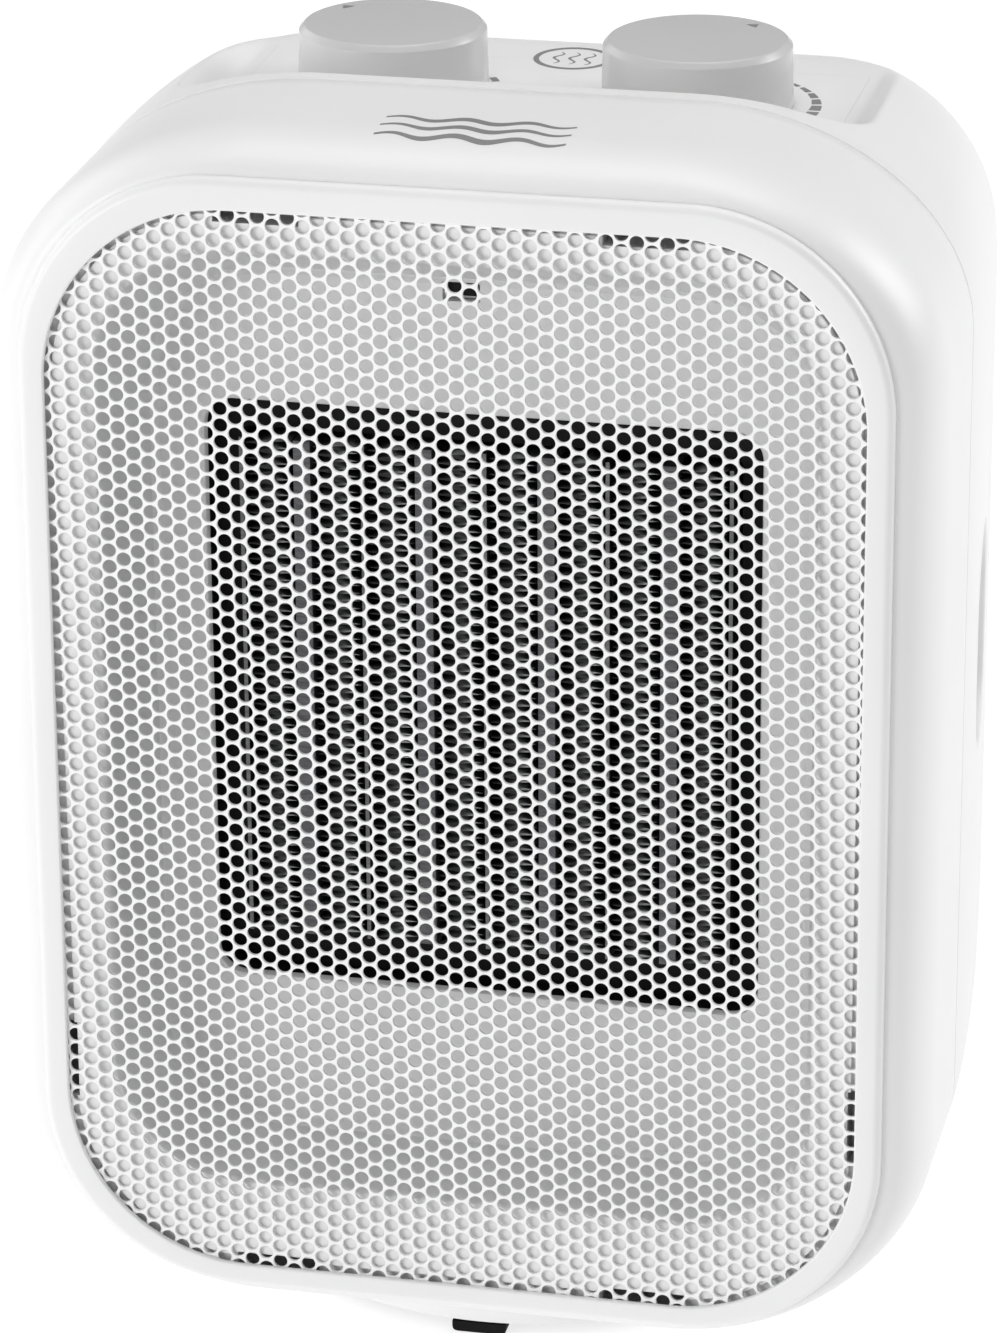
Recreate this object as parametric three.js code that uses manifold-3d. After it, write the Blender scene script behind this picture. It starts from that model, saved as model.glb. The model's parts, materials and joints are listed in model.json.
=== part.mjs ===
// Ceramic space heater: a small desk heater on a round swivel base, in millimetres.
// +Z is up, the air outlet faces -Y, and the origin is on the floor at the swivel axis.
import * as THREE from 'three';
import { mergeVertices } from 'three/addons/utils/BufferGeometryUtils.js';
import Module from 'manifold-3d';

const wasm = await Module();
wasm.setup();

// ---- driving dimensions -------------------------------------------------------------------
const GAP = 0.3; // clearance between touching pieces
const WALL = 2.4; // moulded casing wall
const CORNER_STEPS = 6; // straight facets in one rounded corner

const BODY = {
  halfWidth: 82.8,
  top: 228.4,
  bottom: 9.6,
  cornerX: 50,
  cornerZ: 38.5,
  rearCorner: 33,
  cornerLength: 66, // over this length behind the control panel's rim the corners tighten
  front: -70.2, // where the rounded shoulder starts, behind the bezel lip
  shoulderLength: 14,
  shoulderInset: 6.9,
  seam: -30.75,
  taperStart: -25.75,
  rear: 72.25,
  rearEdge: 12,
  sideTaper: 9.8,
  topDrop: 29,
  bottomRise: 12,
  bottomRiseStart: 24,
};
const LIP = { front: -73.25, halfWidth: 75.7, top: 222.5, bottom: 14.4, corner: 35.2, width: 4.2, round: 1.6 };
const GRILLE = { front: -72.2, thickness: 0.5, margin: 1.6 };
const OPENING = { halfWidth: 71.2, top: 216.9, bottom: 18.5, corner: 31 };
const TRAY = {
  front: -71.4,
  plate: -48.75,
  thickness: 1.8,
  halfWidth: 72.2,
  top: 218,
  bottom: 17.4,
  corner: 32,
  plateHalfWidth: 58.6,
  plateTop: 199.4,
  plateBottom: 36,
  plateCorner: 22,
  recess: { halfWidth: 63.5, top: 209.5, bottom: 33.5, corner: 24 }, // inner edge of the flange
};
const OUTLET = { halfWidth: 49.5, halfHeight: 54.9, z: 119.9, corner: 5 };
const ELEMENT = { halfWidth: 43.75, halfHeight: 47.2, front: -46.4, depth: 15, strips: 4, strip: 3, plate: 0.7 };
const FRAME = { front: -46.6, step: -41, rear: -29.5, halfWidth: 54.5, halfHeight: 59.5, finPitch: 8, finSheet: 0.8 };
const FAN = { radius: 44.3, hub: 15, front: -7, rear: 9, blades: 7, shaft: 1.6, ductRadius: 46, ductRear: 13 };
const MOTOR = { radius: 19, front: 17.6, rear: 40 };
const INTAKE = { halfWidth: 45, halfHeight: 52, corner: 8, bars: 11 };
const PANEL = {
  top: 217,
  thickness: 2.4,
  halfWidth: 58.6,
  front: -18.1,
  rear: 42.75,
  corner: 6,
  wallLean: 0.7, // outward run of the well's walls for each millimetre of height
  mouth: 235, // above the casing, where the well's cutter ends
};
const KNOB = { radius: 16.9, top: 229.2, x: 27.7, y: 4.75, round: 1.4, bore: 3.3, shaft: 3 };
const GRIP = { y: 11, z: 118, radius: 15.5, halfLength: 21.5, floor: 66, wall: 2 };
const PILLAR = { x: 50, low: 48, high: 188, radius: 4 };
const SCREW = { head: 3, shank: 1.5, clearance: 1.85, seat: -23.7, tip: -38 };
const GLAND = { x: 34, z: 44, hole: 3.6, body: 5.8, flange: 8, outer: 73.25 };
const BASE = { radius: 56.2, bottom: 2.3, top: 9.3, wall: 2, hub: 14.5, hubBore: 10, hubTop: 12.2, hole: 15 };
const RING = { inner: 10.4, outer: 19, bottom: 12.4, top: 14.4, screwRadius: 12.3, screws: 3 };
const FOOT = { width: 10, length: 9, height: 2, count: 4, round: 1 };
const PLUNGER = { radius: 3.8, top: 8.8, guide: 6.4, guideTop: 9.2, switchTop: 20.5 };

// ---- materials ------------------------------------------------------------------------------
function material(color, roughness, metalness = 0) {
  return new THREE.MeshStandardMaterial({ color, roughness, metalness });
}
const WHITE = () => material(0xf2f2f0, 0.45);
const GREY = () => material(0xc4c4c4, 0.4);
const STEEL = () => material(0xf0f0ee, 0.5, 0.1);
const BLACK = () => material(0x1a1a1a, 0.6);
const ALUMINIUM = () => material(0xb8bcc0, 0.35, 0.9);
const ZINC = () => material(0x9a9da0, 0.4, 0.9);
const RUBBER = () => material(0x111111, 0.85);

// ---- geometry helpers -----------------------------------------------------------------------
const model = new THREE.Group();

function add(name, geometry, mat) {
  const mesh = new THREE.Mesh(geometry, mat);
  mesh.name = name;
  model.add(mesh);
  return mesh;
}

// A rounded-rectangle ring in the plane at y, seen from the front it runs anticlockwise.
function ring(y, halfWidth, top, bottom, rx, rz = rx, steps = CORNER_STEPS) {
  const corners = [
    [halfWidth - rx, top - rz, 0],
    [-halfWidth + rx, top - rz, 1],
    [-halfWidth + rx, bottom + rz, 2],
    [halfWidth - rx, bottom + rz, 3],
  ];
  const points = [];
  for (const [x, z, quarter] of corners) {
    for (let i = 0; i <= steps; i += 1) {
      const angle = ((quarter + i / steps) * Math.PI) / 2;
      points.push([x + rx * Math.cos(angle), y, z + rz * Math.sin(angle)]);
    }
  }
  return points;
}

// A circle with the same count and order of points as ring().
function circleRing(y, radius, z, steps = CORNER_STEPS) {
  const points = [];
  for (let quarter = 0; quarter < 4; quarter += 1) {
    for (let i = 0; i <= steps; i += 1) {
      const angle = ((quarter + (i + 0.5) / (steps + 1)) * Math.PI) / 2;
      points.push([radius * Math.cos(angle), y, z + radius * Math.sin(angle)]);
    }
  }
  return points;
}

// Skins a list of rings. A loop joins the last ring to the first, and otherwise both ends are capped.
function loft(rings, loop = false) {
  const count = rings[0].length;
  const positions = rings.flat(2);
  const index = [];
  const spans = loop ? rings.length : rings.length - 1;
  for (let r = 0; r < spans; r += 1) {
    const a = r * count;
    const b = ((r + 1) % rings.length) * count;
    for (let i = 0; i < count; i += 1) {
      const j = (i + 1) % count;
      index.push(a + i, b + i, a + j, b + i, b + j, a + j);
    }
  }
  if (!loop) {
    const last = (rings.length - 1) * count;
    for (let i = 1; i < count - 1; i += 1) {
      index.push(0, i, i + 1);
      index.push(last, last + i + 1, last + i);
    }
  }
  const geometry = new THREE.BufferGeometry();
  geometry.setAttribute('position', new THREE.Float32BufferAttribute(positions, 3));
  geometry.setIndex(index);
  return geometry;
}

function solid(geometry) {
  const bare = geometry.clone();
  bare.deleteAttribute('normal');
  bare.deleteAttribute('uv');
  const merged = mergeVertices(bare, 1e-4);
  return new wasm.Manifold(
    new wasm.Mesh({
      numProp: 3,
      vertProperties: new Float32Array(merged.attributes.position.array),
      triVerts: new Uint32Array(merged.index.array),
    }),
  );
}

function geometryOf(body) {
  const mesh = body.getMesh();
  const geometry = new THREE.BufferGeometry();
  geometry.setAttribute('position', new THREE.Float32BufferAttribute(mesh.vertProperties, 3));
  geometry.setIndex(Array.from(mesh.triVerts));
  return geometry;
}

function cut(geometry, tools) {
  let body = solid(geometry);
  for (const tool of tools) {
    body = body.subtract(solid(tool));
  }
  return geometryOf(body);
}

function join(pieces) {
  let body = solid(pieces[0]);
  for (const piece of pieces.slice(1)) {
    body = body.add(solid(piece));
  }
  return geometryOf(body);
}

function keepInside(geometry, envelope) {
  return geometryOf(solid(geometry).intersect(solid(envelope)));
}

function box(x0, x1, y0, y1, z0, z1) {
  const geometry = new THREE.BoxGeometry(x1 - x0, y1 - y0, z1 - z0);
  return geometry.translate((x0 + x1) / 2, (y0 + y1) / 2, (z0 + z1) / 2);
}

// A cylinder from one end to the other along Z or Y.
function rod(axis, radius, x, other, from, to, segments = 20) {
  const geometry = new THREE.CylinderGeometry(radius, radius, to - from, segments);
  if (axis === 'z') {
    geometry.rotateX(Math.PI / 2);
    return geometry.translate(x, other, (from + to) / 2);
  }
  return geometry.translate(x, (from + to) / 2, other);
}

// A turned piece about Z (or Y) from a closed profile of [radius, height] points.
function turned(profile, segments = 40, axis = 'z') {
  const points = profile.map(([r, h]) => new THREE.Vector2(r, h));
  const closed = profile[0][0] > 0 ? [...points, points[0]] : points;
  const geometry = new THREE.LatheGeometry(closed, segments);
  if (axis === 'z') {
    geometry.rotateX(Math.PI / 2);
  }
  const body = solidOutward(geometry);
  return geometryOf(body);
}

// Turns a closed surface so that its faces point out.
function solidOutward(geometry) {
  const body = solid(geometry);
  if (body.volume() > 0) {
    return body;
  }
  const flipped = geometry.clone();
  const order = Array.from(flipped.index.array);
  for (let i = 0; i < order.length; i += 3) {
    [order[i + 1], order[i + 2]] = [order[i + 2], order[i + 1]];
  }
  flipped.setIndex(order);
  return solid(flipped);
}

function stadium(radius, halfLength, y, z) {
  const shape = new THREE.Shape();
  shape.absarc(y, z + halfLength - radius, radius, 0, Math.PI, false);
  shape.absarc(y, z - halfLength + radius, radius, Math.PI, 2 * Math.PI, false);
  return shape;
}

// Extrudes a shape drawn in (y, z) along +X, from x0 to x1.
function alongX(shape, x0, x1, curveSegments = 8) {
  const geometry = new THREE.ExtrudeGeometry(shape, { depth: x1 - x0, bevelEnabled: false, curveSegments });
  const swap = new THREE.Matrix4().set(0, 0, 1, x0, 1, 0, 0, 0, 0, 1, 0, 0, 0, 0, 0, 1);
  return geometry.applyMatrix4(swap);
}

// Extrudes a shape drawn in (x, z) along +Y, from y0 to y1.
function alongY(shape, y0, y1, curveSegments = 6) {
  const geometry = new THREE.ExtrudeGeometry(shape, { depth: y1 - y0, bevelEnabled: false, curveSegments });
  geometry.rotateX(Math.PI / 2);
  return geometry.translate(0, y1, 0);
}

// ---- outer form of the casing ---------------------------------------------------------------
const mix = (a, b, t) => a + (b - a) * t;
const clamp01 = (t) => Math.min(1, Math.max(0, t));
const arcInset = (t) => 1 - Math.sqrt(Math.max(0, 1 - t * t));

function casingSection(y, inset = 0) {
  const shoulder = arcInset(1 - clamp01((y - BODY.front) / BODY.shoulderLength));
  const back = clamp01((y - BODY.taperStart) / (BODY.rear - BODY.taperStart));
  const under = clamp01((y - BODY.bottomRiseStart) / (BODY.rear - BODY.bottomRiseStart));
  const edge = BODY.rearEdge * arcInset(clamp01((y - BODY.rear + BODY.rearEdge) / BODY.rearEdge));
  const drawIn = BODY.shoulderInset * shoulder + edge + inset;
  const tighten = clamp01((y - BODY.taperStart) / BODY.cornerLength);
  const rx = mix(mix(BODY.cornerX, LIP.corner, shoulder), BODY.rearCorner, tighten);
  const rz = mix(mix(BODY.cornerZ, LIP.corner, shoulder), BODY.rearCorner, tighten);
  return {
    y,
    halfWidth: BODY.halfWidth - BODY.sideTaper * back ** 1.3 - drawIn,
    top: BODY.top - BODY.topDrop * back ** 2.54 - drawIn * 0.86,
    bottom: BODY.bottom + BODY.bottomRise * under ** 1.6 + drawIn * 0.7,
    rx: Math.max(6, rx - edge - inset),
    rz: Math.max(6, rz - edge - inset),
  };
}

function casingRing(y, inset = 0, atY = y) {
  const s = casingSection(y, inset);
  return ring(atY, s.halfWidth, s.top, s.bottom, s.rx, s.rz);
}

// The rear half of the casing's outer form as one plain solid.
function casingEnvelope() {
  const stations = [0, 0.16, 0.34, 0.52, 0.68, 0.8, 0.9, 0.965, 1];
  return loft(stations.map((t) => casingRing(mix(BODY.seam, BODY.rear, t))));
}

function lipRing(y, inset) {
  const corner = LIP.corner - inset;
  return ring(y, LIP.halfWidth - inset, LIP.top - inset, LIP.bottom + inset, corner, corner);
}

function openingRing(y, grow = 0) {
  const corner = OPENING.corner + grow;
  return ring(y, OPENING.halfWidth + grow, OPENING.top + grow, OPENING.bottom - grow, corner, corner);
}

// The outline of the control panel's well at height z, open towards the back.
function wellRing(z, grow, rear = PANEL.rear + GAP) {
  const outline = ring(0, PANEL.halfWidth + grow, rear, PANEL.front - grow, PANEL.corner + grow);
  return outline.map(([x, , y]) => [x, y, z]);
}

// ---- casing ---------------------------------------------------------------------------------
function makeFrontShell() {
  const back = GRILLE.front - GAP;
  const rebate = GRILLE.margin + GAP;
  const rings = [
    openingRing(back),
    openingRing(LIP.front + 0.4),
    openingRing(LIP.front, 0.5),
    lipRing(LIP.front, LIP.round),
    lipRing(LIP.front + LIP.round * 0.3, LIP.round * 0.3),
    lipRing(LIP.front + LIP.round, 0),
  ];
  for (const step of [0, 0.04, 0.14, 0.32, 0.6, 1]) {
    rings.push(casingRing(BODY.front + step * BODY.shoulderLength));
  }
  rings.push(casingRing(BODY.seam - GAP));
  rings.push(casingRing(BODY.seam - GAP, WALL));
  for (const step of [1, 0.5]) {
    rings.push(casingRing(BODY.front + step * BODY.shoulderLength, WALL));
  }
  rings.push(openingRing(TRAY.front + 4, rebate));
  rings.push(openingRing(back, rebate));
  return loft(rings, true);
}

function makeRearHousing() {
  const outer = [0, 0.16, 0.34, 0.52, 0.68, 0.8, 0.9, 0.965, 1].map((t) => casingRing(mix(BODY.seam, BODY.rear, t)));
  const inner = [0.94, 0.84, 0.7, 0.46, 0.2, 0].map((t) => casingRing(mix(BODY.seam, BODY.rear - WALL, t), WALL));
  const shell = loft([...inner, ...outer]);
  const envelope = casingEnvelope();

  const wellTop = wellRing(PANEL.mouth, (PANEL.mouth - PANEL.top) * PANEL.wallLean);
  const wellFloor = wellRing(PANEL.top - PANEL.thickness - GAP, 0);
  const wellCut = loft([wellTop, wellRing(PANEL.top, 0), wellFloor]);
  const wellCurb = loft([
    wellRing(PANEL.mouth, (PANEL.mouth - PANEL.top) * PANEL.wallLean + WALL),
    wellRing(PANEL.top, WALL),
    wellRing(PANEL.top - PANEL.thickness, WALL),
  ]);

  const added = [shell, keepInside(wellCurb, envelope)];
  const cuts = [wellCut];
  for (const side of [-1, 1]) {
    const near = side > 0 ? GRIP.floor : -BODY.halfWidth;
    const far = side > 0 ? BODY.halfWidth : -GRIP.floor;
    const cup = stadium(GRIP.radius + GRIP.wall, GRIP.halfLength + GRIP.wall, GRIP.y, GRIP.z);
    const pocket = stadium(GRIP.radius, GRIP.halfLength, GRIP.y, GRIP.z);
    added.push(keepInside(alongX(cup, near, far), envelope));
    const floor = GRIP.wall * side;
    cuts.push(alongX(pocket, near + (side > 0 ? floor : -2), far + (side > 0 ? 2 : floor)));
    for (const z of [PILLAR.low, PILLAR.high]) {
      const x = side * PILLAR.x;
      added.push(keepInside(rod('y', PILLAR.radius + 1.4, x, z, BODY.seam + 0.4, BODY.rear - 1), envelope));
      cuts.push(rod('y', SCREW.head + 0.6, x, z, SCREW.seat - GAP, BODY.rear + 5));
      cuts.push(rod('y', SCREW.clearance, x, z, BODY.seam - 5, SCREW.seat, 12));
    }
  }
  const intake = ring(0, INTAKE.halfWidth, OUTLET.z + INTAKE.halfHeight, OUTLET.z - INTAKE.halfHeight, INTAKE.corner);
  cuts.push(loft([BODY.rear - 8, BODY.rear + 3].map((y) => intake.map(([x, , z]) => [x, y, z]))));
  cuts.push(rod('y', GLAND.body + GAP, GLAND.x, GLAND.z, BODY.rear - 12, BODY.rear + 3));
  cuts.push(rod('z', BASE.hole, 0, 0, 0, 20, 32));
  return cut(join(added), cuts);
}

function makeRearGrille() {
  const margin = GAP;
  const w = INTAKE.halfWidth - margin;
  const h = INTAKE.halfHeight - margin;
  const plate = loft([
    ring(BODY.rear - 3.2, w, OUTLET.z + h, OUTLET.z - h, INTAKE.corner - margin),
    ring(BODY.rear - 0.2, w, OUTLET.z + h, OUTLET.z - h, INTAKE.corner - margin),
  ]);
  const slots = [];
  const pitch = (2 * h - 10) / INTAKE.bars;
  for (let i = 0; i < INTAKE.bars; i += 1) {
    const z = OUTLET.z - h + 5 + (i + 0.5) * pitch;
    for (const side of [-1, 1]) {
      const inner = side * 2;
      const outer = side * (w - 5);
      const x0 = Math.min(inner, outer);
      const x1 = Math.max(inner, outer);
      slots.push(box(x0, x1, BODY.rear - 5, BODY.rear + 2, z - pitch * 0.32, z + pitch * 0.32));
    }
  }
  return cut(plate, slots);
}

function makeControlPanel() {
  const blank = loft([wellRing(PANEL.top, -GAP), wellRing(PANEL.top - PANEL.thickness, -GAP)]);
  const plate = keepInside(blank, casingEnvelope());
  const holes = [-1, 1].map((side) => rod('z', KNOB.shaft + 1, side * KNOB.x, KNOB.y, 205, 230));
  return cut(plate, holes);
}

// ---- outlet: punched sheet and funnel tray ---------------------------------------------------
function makeGrilleSheet() {
  const rear = GRILLE.front + GRILLE.thickness;
  return loft([openingRing(GRILLE.front, GRILLE.margin), openingRing(rear, GRILLE.margin)]);
}

function trayRing(y, grow, plate) {
  if (plate) {
    const corner = TRAY.plateCorner + grow;
    return ring(y, TRAY.plateHalfWidth + grow, TRAY.plateTop + grow, TRAY.plateBottom - grow, corner);
  }
  return ring(y, TRAY.halfWidth + grow, TRAY.top + grow, TRAY.bottom - grow, TRAY.corner + grow);
}

function recessRing(y) {
  const { halfWidth, top, bottom, corner } = TRAY.recess;
  return ring(y, halfWidth, top, bottom, corner);
}

function outletRing(y, grow = 0) {
  const corner = OUTLET.corner + Math.max(grow, 0);
  const w = OUTLET.halfWidth + grow;
  const h = OUTLET.halfHeight + grow;
  return ring(y, w, OUTLET.z + h, OUTLET.z - h, corner);
}

function makeInnerTray() {
  const back = TRAY.plate + TRAY.thickness;
  const funnel = loft(
    [
      recessRing(TRAY.front),
      trayRing(TRAY.front, 0, false),
      trayRing(TRAY.front + 2.5, 0, false),
      trayRing(back, 1.5, true),
      outletRing(back),
      outletRing(TRAY.plate),
      trayRing(TRAY.plate, 0, true),
    ],
    true,
  );
  const pillars = [];
  const holes = [box(-6.6, 0, TRAY.plate - 3, back + 3, 195.4, 199.1)];
  for (const side of [-1, 1]) {
    for (const z of [PILLAR.low, PILLAR.high]) {
      pillars.push(rod('y', PILLAR.radius, side * PILLAR.x, z, TRAY.plate + 0.5, BODY.seam - GAP));
      holes.push(rod('y', SCREW.clearance, side * PILLAR.x, z, back - 0.2, 0, 12));
    }
  }
  return cut(join([funnel, ...pillars]), holes);
}

// ---- PTC heating element --------------------------------------------------------------------
function makeHeaterFrame() {
  const { halfWidth: w, halfHeight: h } = FRAME;
  const inner = (y) => {
    const half = ELEMENT.halfWidth + ELEMENT.plate + GAP;
    const high = ELEMENT.halfHeight + GAP;
    return ring(y, half, OUTLET.z + high, OUTLET.z - high, 1.5);
  };
  return loft(
    [
      ring(FRAME.front, w, OUTLET.z + h, OUTLET.z - h, 7),
      ring(FRAME.rear, w, OUTLET.z + h, OUTLET.z - h, 7),
      inner(FRAME.rear),
      inner(FRAME.step),
      outletRing(FRAME.step, 0.5),
      outletRing(FRAME.front, 0.5),
    ],
    true,
  );
}

function slab(x0, x1) {
  return box(
    x0,
    x1,
    ELEMENT.front,
    ELEMENT.front + ELEMENT.depth,
    OUTLET.z - ELEMENT.halfHeight,
    OUTLET.z + ELEMENT.halfHeight,
  );
}

// One folded fin strip between x0 and x1: a zigzag sheet running up the element.
function finPack(x0, x1) {
  const y0 = ELEMENT.front + 0.5;
  const y1 = ELEMENT.front + ELEMENT.depth - 0.5;
  const reach = FRAME.finSheet;
  const folds = Math.round((4 * ELEMENT.halfHeight) / FRAME.finPitch);
  const rise = (2 * ELEMENT.halfHeight) / folds;
  const rings = [];
  for (let i = 0; i <= folds; i += 1) {
    const x = i % 2 === 0 ? x0 + reach : x1 - reach;
    const z = OUTLET.z - ELEMENT.halfHeight + i * rise;
    rings.push([
      [x - reach, y0, z],
      [x - reach, y1, z],
      [x + reach, y1, z],
      [x + reach, y0, z],
    ]);
  }
  return loft(rings);
}

function addElement() {
  const pitch = (2 * ELEMENT.halfWidth) / ELEMENT.strips;
  for (let i = 0; i <= ELEMENT.strips; i += 1) {
    const x = -ELEMENT.halfWidth + i * pitch;
    add(`fin_plate_${i + 1}`, slab(x - ELEMENT.plate / 2, x + ELEMENT.plate / 2), ALUMINIUM());
  }
  for (let i = 0; i < ELEMENT.strips; i += 1) {
    const x = -ELEMENT.halfWidth + (i + 0.5) * pitch;
    const half = ELEMENT.strip / 2;
    const reach = pitch / 2 - ELEMENT.plate / 2;
    add(`ptc_strip_${i + 1}`, slab(x - half, x + half), material(0x55585c, 0.5, 0.6));
    add(`fin_pack_${2 * i + 1}`, finPack(x - reach + GAP, x - half - GAP), ALUMINIUM());
    add(`fin_pack_${2 * i + 2}`, finPack(x + half + GAP, x + reach - GAP), ALUMINIUM());
  }
}

// ---- fan --------------------------------------------------------------------------------------
function makeFanDuct() {
  const { halfWidth: w, halfHeight: h } = FRAME;
  const front = FRAME.rear + GAP;
  const sheet = 1.6;
  return loft(
    [
      ring(front, w, OUTLET.z + h, OUTLET.z - h, 7),
      circleRing(FAN.front - 6, FAN.ductRadius + sheet, OUTLET.z),
      circleRing(FAN.ductRear, FAN.ductRadius + sheet, OUTLET.z),
      circleRing(FAN.ductRear, FAN.ductRadius, OUTLET.z),
      circleRing(FAN.front - 6, FAN.ductRadius, OUTLET.z),
      ring(front, w - sheet, OUTLET.z + h - sheet, OUTLET.z - h + sheet, 6),
    ],
    true,
  );
}

function makeMotorMount() {
  const front = FAN.ductRear + GAP;
  const rear = front + 3;
  const profile = [
    [FAN.ductRadius - 2, front],
    [FAN.ductRadius + 3, front],
    [FAN.ductRadius + 3, rear],
    [FAN.ductRadius - 2, rear],
  ];
  const pieces = [turned(profile, 32, 'y').translate(0, 0, OUTLET.z)];
  pieces.push(rod('y', MOTOR.radius + 2, 0, OUTLET.z, front, rear, 24));
  for (let i = 0; i < 4; i += 1) {
    const arm = box(-4, 4, front, rear, MOTOR.radius - 2, FAN.ductRadius + 1);
    arm.rotateY(Math.PI / 4 + (i * Math.PI) / 2);
    pieces.push(arm.translate(0, 0, OUTLET.z));
  }
  const holes = [rod('y', 4.5, 0, OUTLET.z, front - 2, rear + 2)];
  for (const side of [-1, 1]) {
    holes.push(rod('y', 1.6, side * 13, OUTLET.z, front - 2, rear + 2, 12));
  }
  return cut(join(pieces), holes);
}

function makeFanImpeller() {
  const middle = (FAN.front + FAN.rear) / 2;
  const pieces = [rod('y', FAN.hub, 0, OUTLET.z, FAN.front, FAN.rear, 24)];
  for (let i = 0; i < FAN.blades; i += 1) {
    const blade = new THREE.BoxGeometry(15, 1.6, FAN.radius - FAN.hub + 3, 1, 1, 2);
    const radial = (FAN.radius + FAN.hub - 3) / 2;
    const position = blade.attributes.position;
    for (let v = 0; v < position.count; v += 1) {
      const z = position.getZ(v) + radial;
      const pitch = mix(0.9, 0.45, (z - FAN.hub) / (FAN.radius - FAN.hub));
      const widen = mix(0.8, 1.5, (z - FAN.hub) / (FAN.radius - FAN.hub));
      const x = position.getX(v) * widen;
      const y = position.getY(v);
      const c = Math.cos(pitch);
      const s = Math.sin(pitch);
      position.setXYZ(v, x * c - y * s, x * s + y * c + middle, z);
    }
    blade.rotateY((i * 2 * Math.PI) / FAN.blades);
    pieces.push(blade.translate(0, 0, OUTLET.z));
  }
  const swept = rod('y', FAN.radius, 0, OUTLET.z, FAN.front, FAN.rear, 48);
  const bore = rod('y', FAN.shaft + GAP, 0, OUTLET.z, FAN.front + 3, FAN.rear + 2, 10);
  return cut(keepInside(join(pieces), swept), [bore]);
}

function makeFanMotor() {
  const can = rod('y', MOTOR.radius, 0, OUTLET.z, MOTOR.front, MOTOR.rear, 24);
  const boss = rod('y', 6, 0, OUTLET.z, MOTOR.rear - 1, MOTOR.rear + 4, 20);
  const holes = [rod('y', FAN.shaft + GAP, 0, OUTLET.z, MOTOR.front - 2, MOTOR.rear, 10)];
  for (const side of [-1, 1]) {
    holes.push(rod('y', 1.6, side * 13, OUTLET.z, MOTOR.front - 2, MOTOR.front + 8, 12));
  }
  return cut(join([can, boss]), holes);
}

// A pan-head screw along +Y or Z: the head's inner face is at seat, the tip at tip.
function screw(axis, x, other, seat, tip, head, shank) {
  const away = Math.sign(seat - tip);
  const low = Math.min(seat, seat + away * head * 0.8);
  const high = Math.max(seat, seat + away * head * 0.8);
  const headPiece = rod(axis, head, x, other, low, high, 12);
  const shankPiece = rod(axis, shank, x, other, Math.min(tip, seat + away * 0.2), Math.max(tip, seat + away * 0.2), 8);
  return join([headPiece, shankPiece]);
}

// ---- controls ---------------------------------------------------------------------------------
function makeKnob(side) {
  const bottom = PANEL.top + 0.5;
  const { radius: r, top, round, bore } = KNOB;
  const profile = [
    [0, top - 2.6],
    [bore, top - 2.6],
    [bore, bottom + 1],
    [r - 1.7, bottom + 1],
    [r - 1.6, bottom],
    [r + 0.2, bottom],
    [r, top - round],
    [r - round * 0.3, top - round * 0.3],
    [r - round, top],
    [0, top],
  ];
  return turned(profile, 32).translate(side * KNOB.x, KNOB.y, 0);
}

function makeSwitchBody(side, width, height) {
  const x = side * KNOB.x;
  const top = PANEL.top - PANEL.thickness - GAP;
  const half = width / 2;
  const block = box(x - half, x + half, KNOB.y - half, KNOB.y + half, top - height, top);
  return cut(block, [rod('z', KNOB.shaft + GAP, x, KNOB.y, top - 8, top + 2, 16)]);
}

function makeControlShaft(side) {
  return rod('z', KNOB.shaft, side * KNOB.x, KNOB.y, PANEL.top - PANEL.thickness - 8, KNOB.top - 3, 16);
}

// ---- cord gland, wiring and sensors -------------------------------------------------------------
function makeCordGland() {
  const profile = [
    [GLAND.hole, BODY.rear - 9],
    [GLAND.body, BODY.rear - 9],
    [GLAND.body, BODY.rear - 0.5],
    [GLAND.body, BODY.rear + GAP],
    [GLAND.flange, BODY.rear + GAP],
    [GLAND.flange - 0.6, GLAND.outer],
    [GLAND.hole, GLAND.outer],
  ];
  return turned(profile, 20, 'y').translate(GLAND.x, 0, GLAND.z);
}

// ---- base -----------------------------------------------------------------------------------------
function makeBaseShell() {
  const { radius: r, bottom, top, wall, hub, hubBore, hubTop } = BASE;
  const profile = [
    [hubBore, top - wall],
    [r - wall, top - wall],
    [r - wall, bottom],
    [r, bottom],
    [r, top - 1.2],
    [r - 1.2, top],
    [hub, top],
    [hub, hubTop],
    [hubBore, hubTop],
  ];
  const holes = ringScrewPlaces().map(([x, y]) => rod('z', 1.5, x, y, top - 5, 30, 10));
  return cut(turned(profile, 48), holes);
}

function ringScrewPlaces() {
  const places = [];
  for (let i = 0; i < RING.screws; i += 1) {
    const angle = Math.PI / 2 + (i * 2 * Math.PI) / RING.screws;
    places.push([RING.screwRadius * Math.cos(angle), RING.screwRadius * Math.sin(angle)]);
  }
  return places;
}

function makeRetainingRing() {
  const profile = [
    [RING.inner, RING.bottom],
    [RING.outer, RING.bottom],
    [RING.outer, RING.top],
    [RING.inner, RING.top],
  ];
  const holes = ringScrewPlaces().map(([x, y]) => rod('z', 1.5, x, y, RING.bottom - 3, RING.top + 3, 10));
  return cut(turned(profile, 28), holes);
}

function makeBasePlate() {
  const r = BASE.radius - BASE.wall - GAP;
  const profile = [
    [PLUNGER.radius + 0.5, BASE.bottom + 0.2],
    [r, BASE.bottom + 0.2],
    [r, BASE.bottom + 2],
    [PLUNGER.guide, BASE.bottom + 2],
    [PLUNGER.guide, PLUNGER.guideTop],
    [PLUNGER.radius + 0.5, PLUNGER.guideTop],
  ];
  return turned(profile, 36);
}

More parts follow.
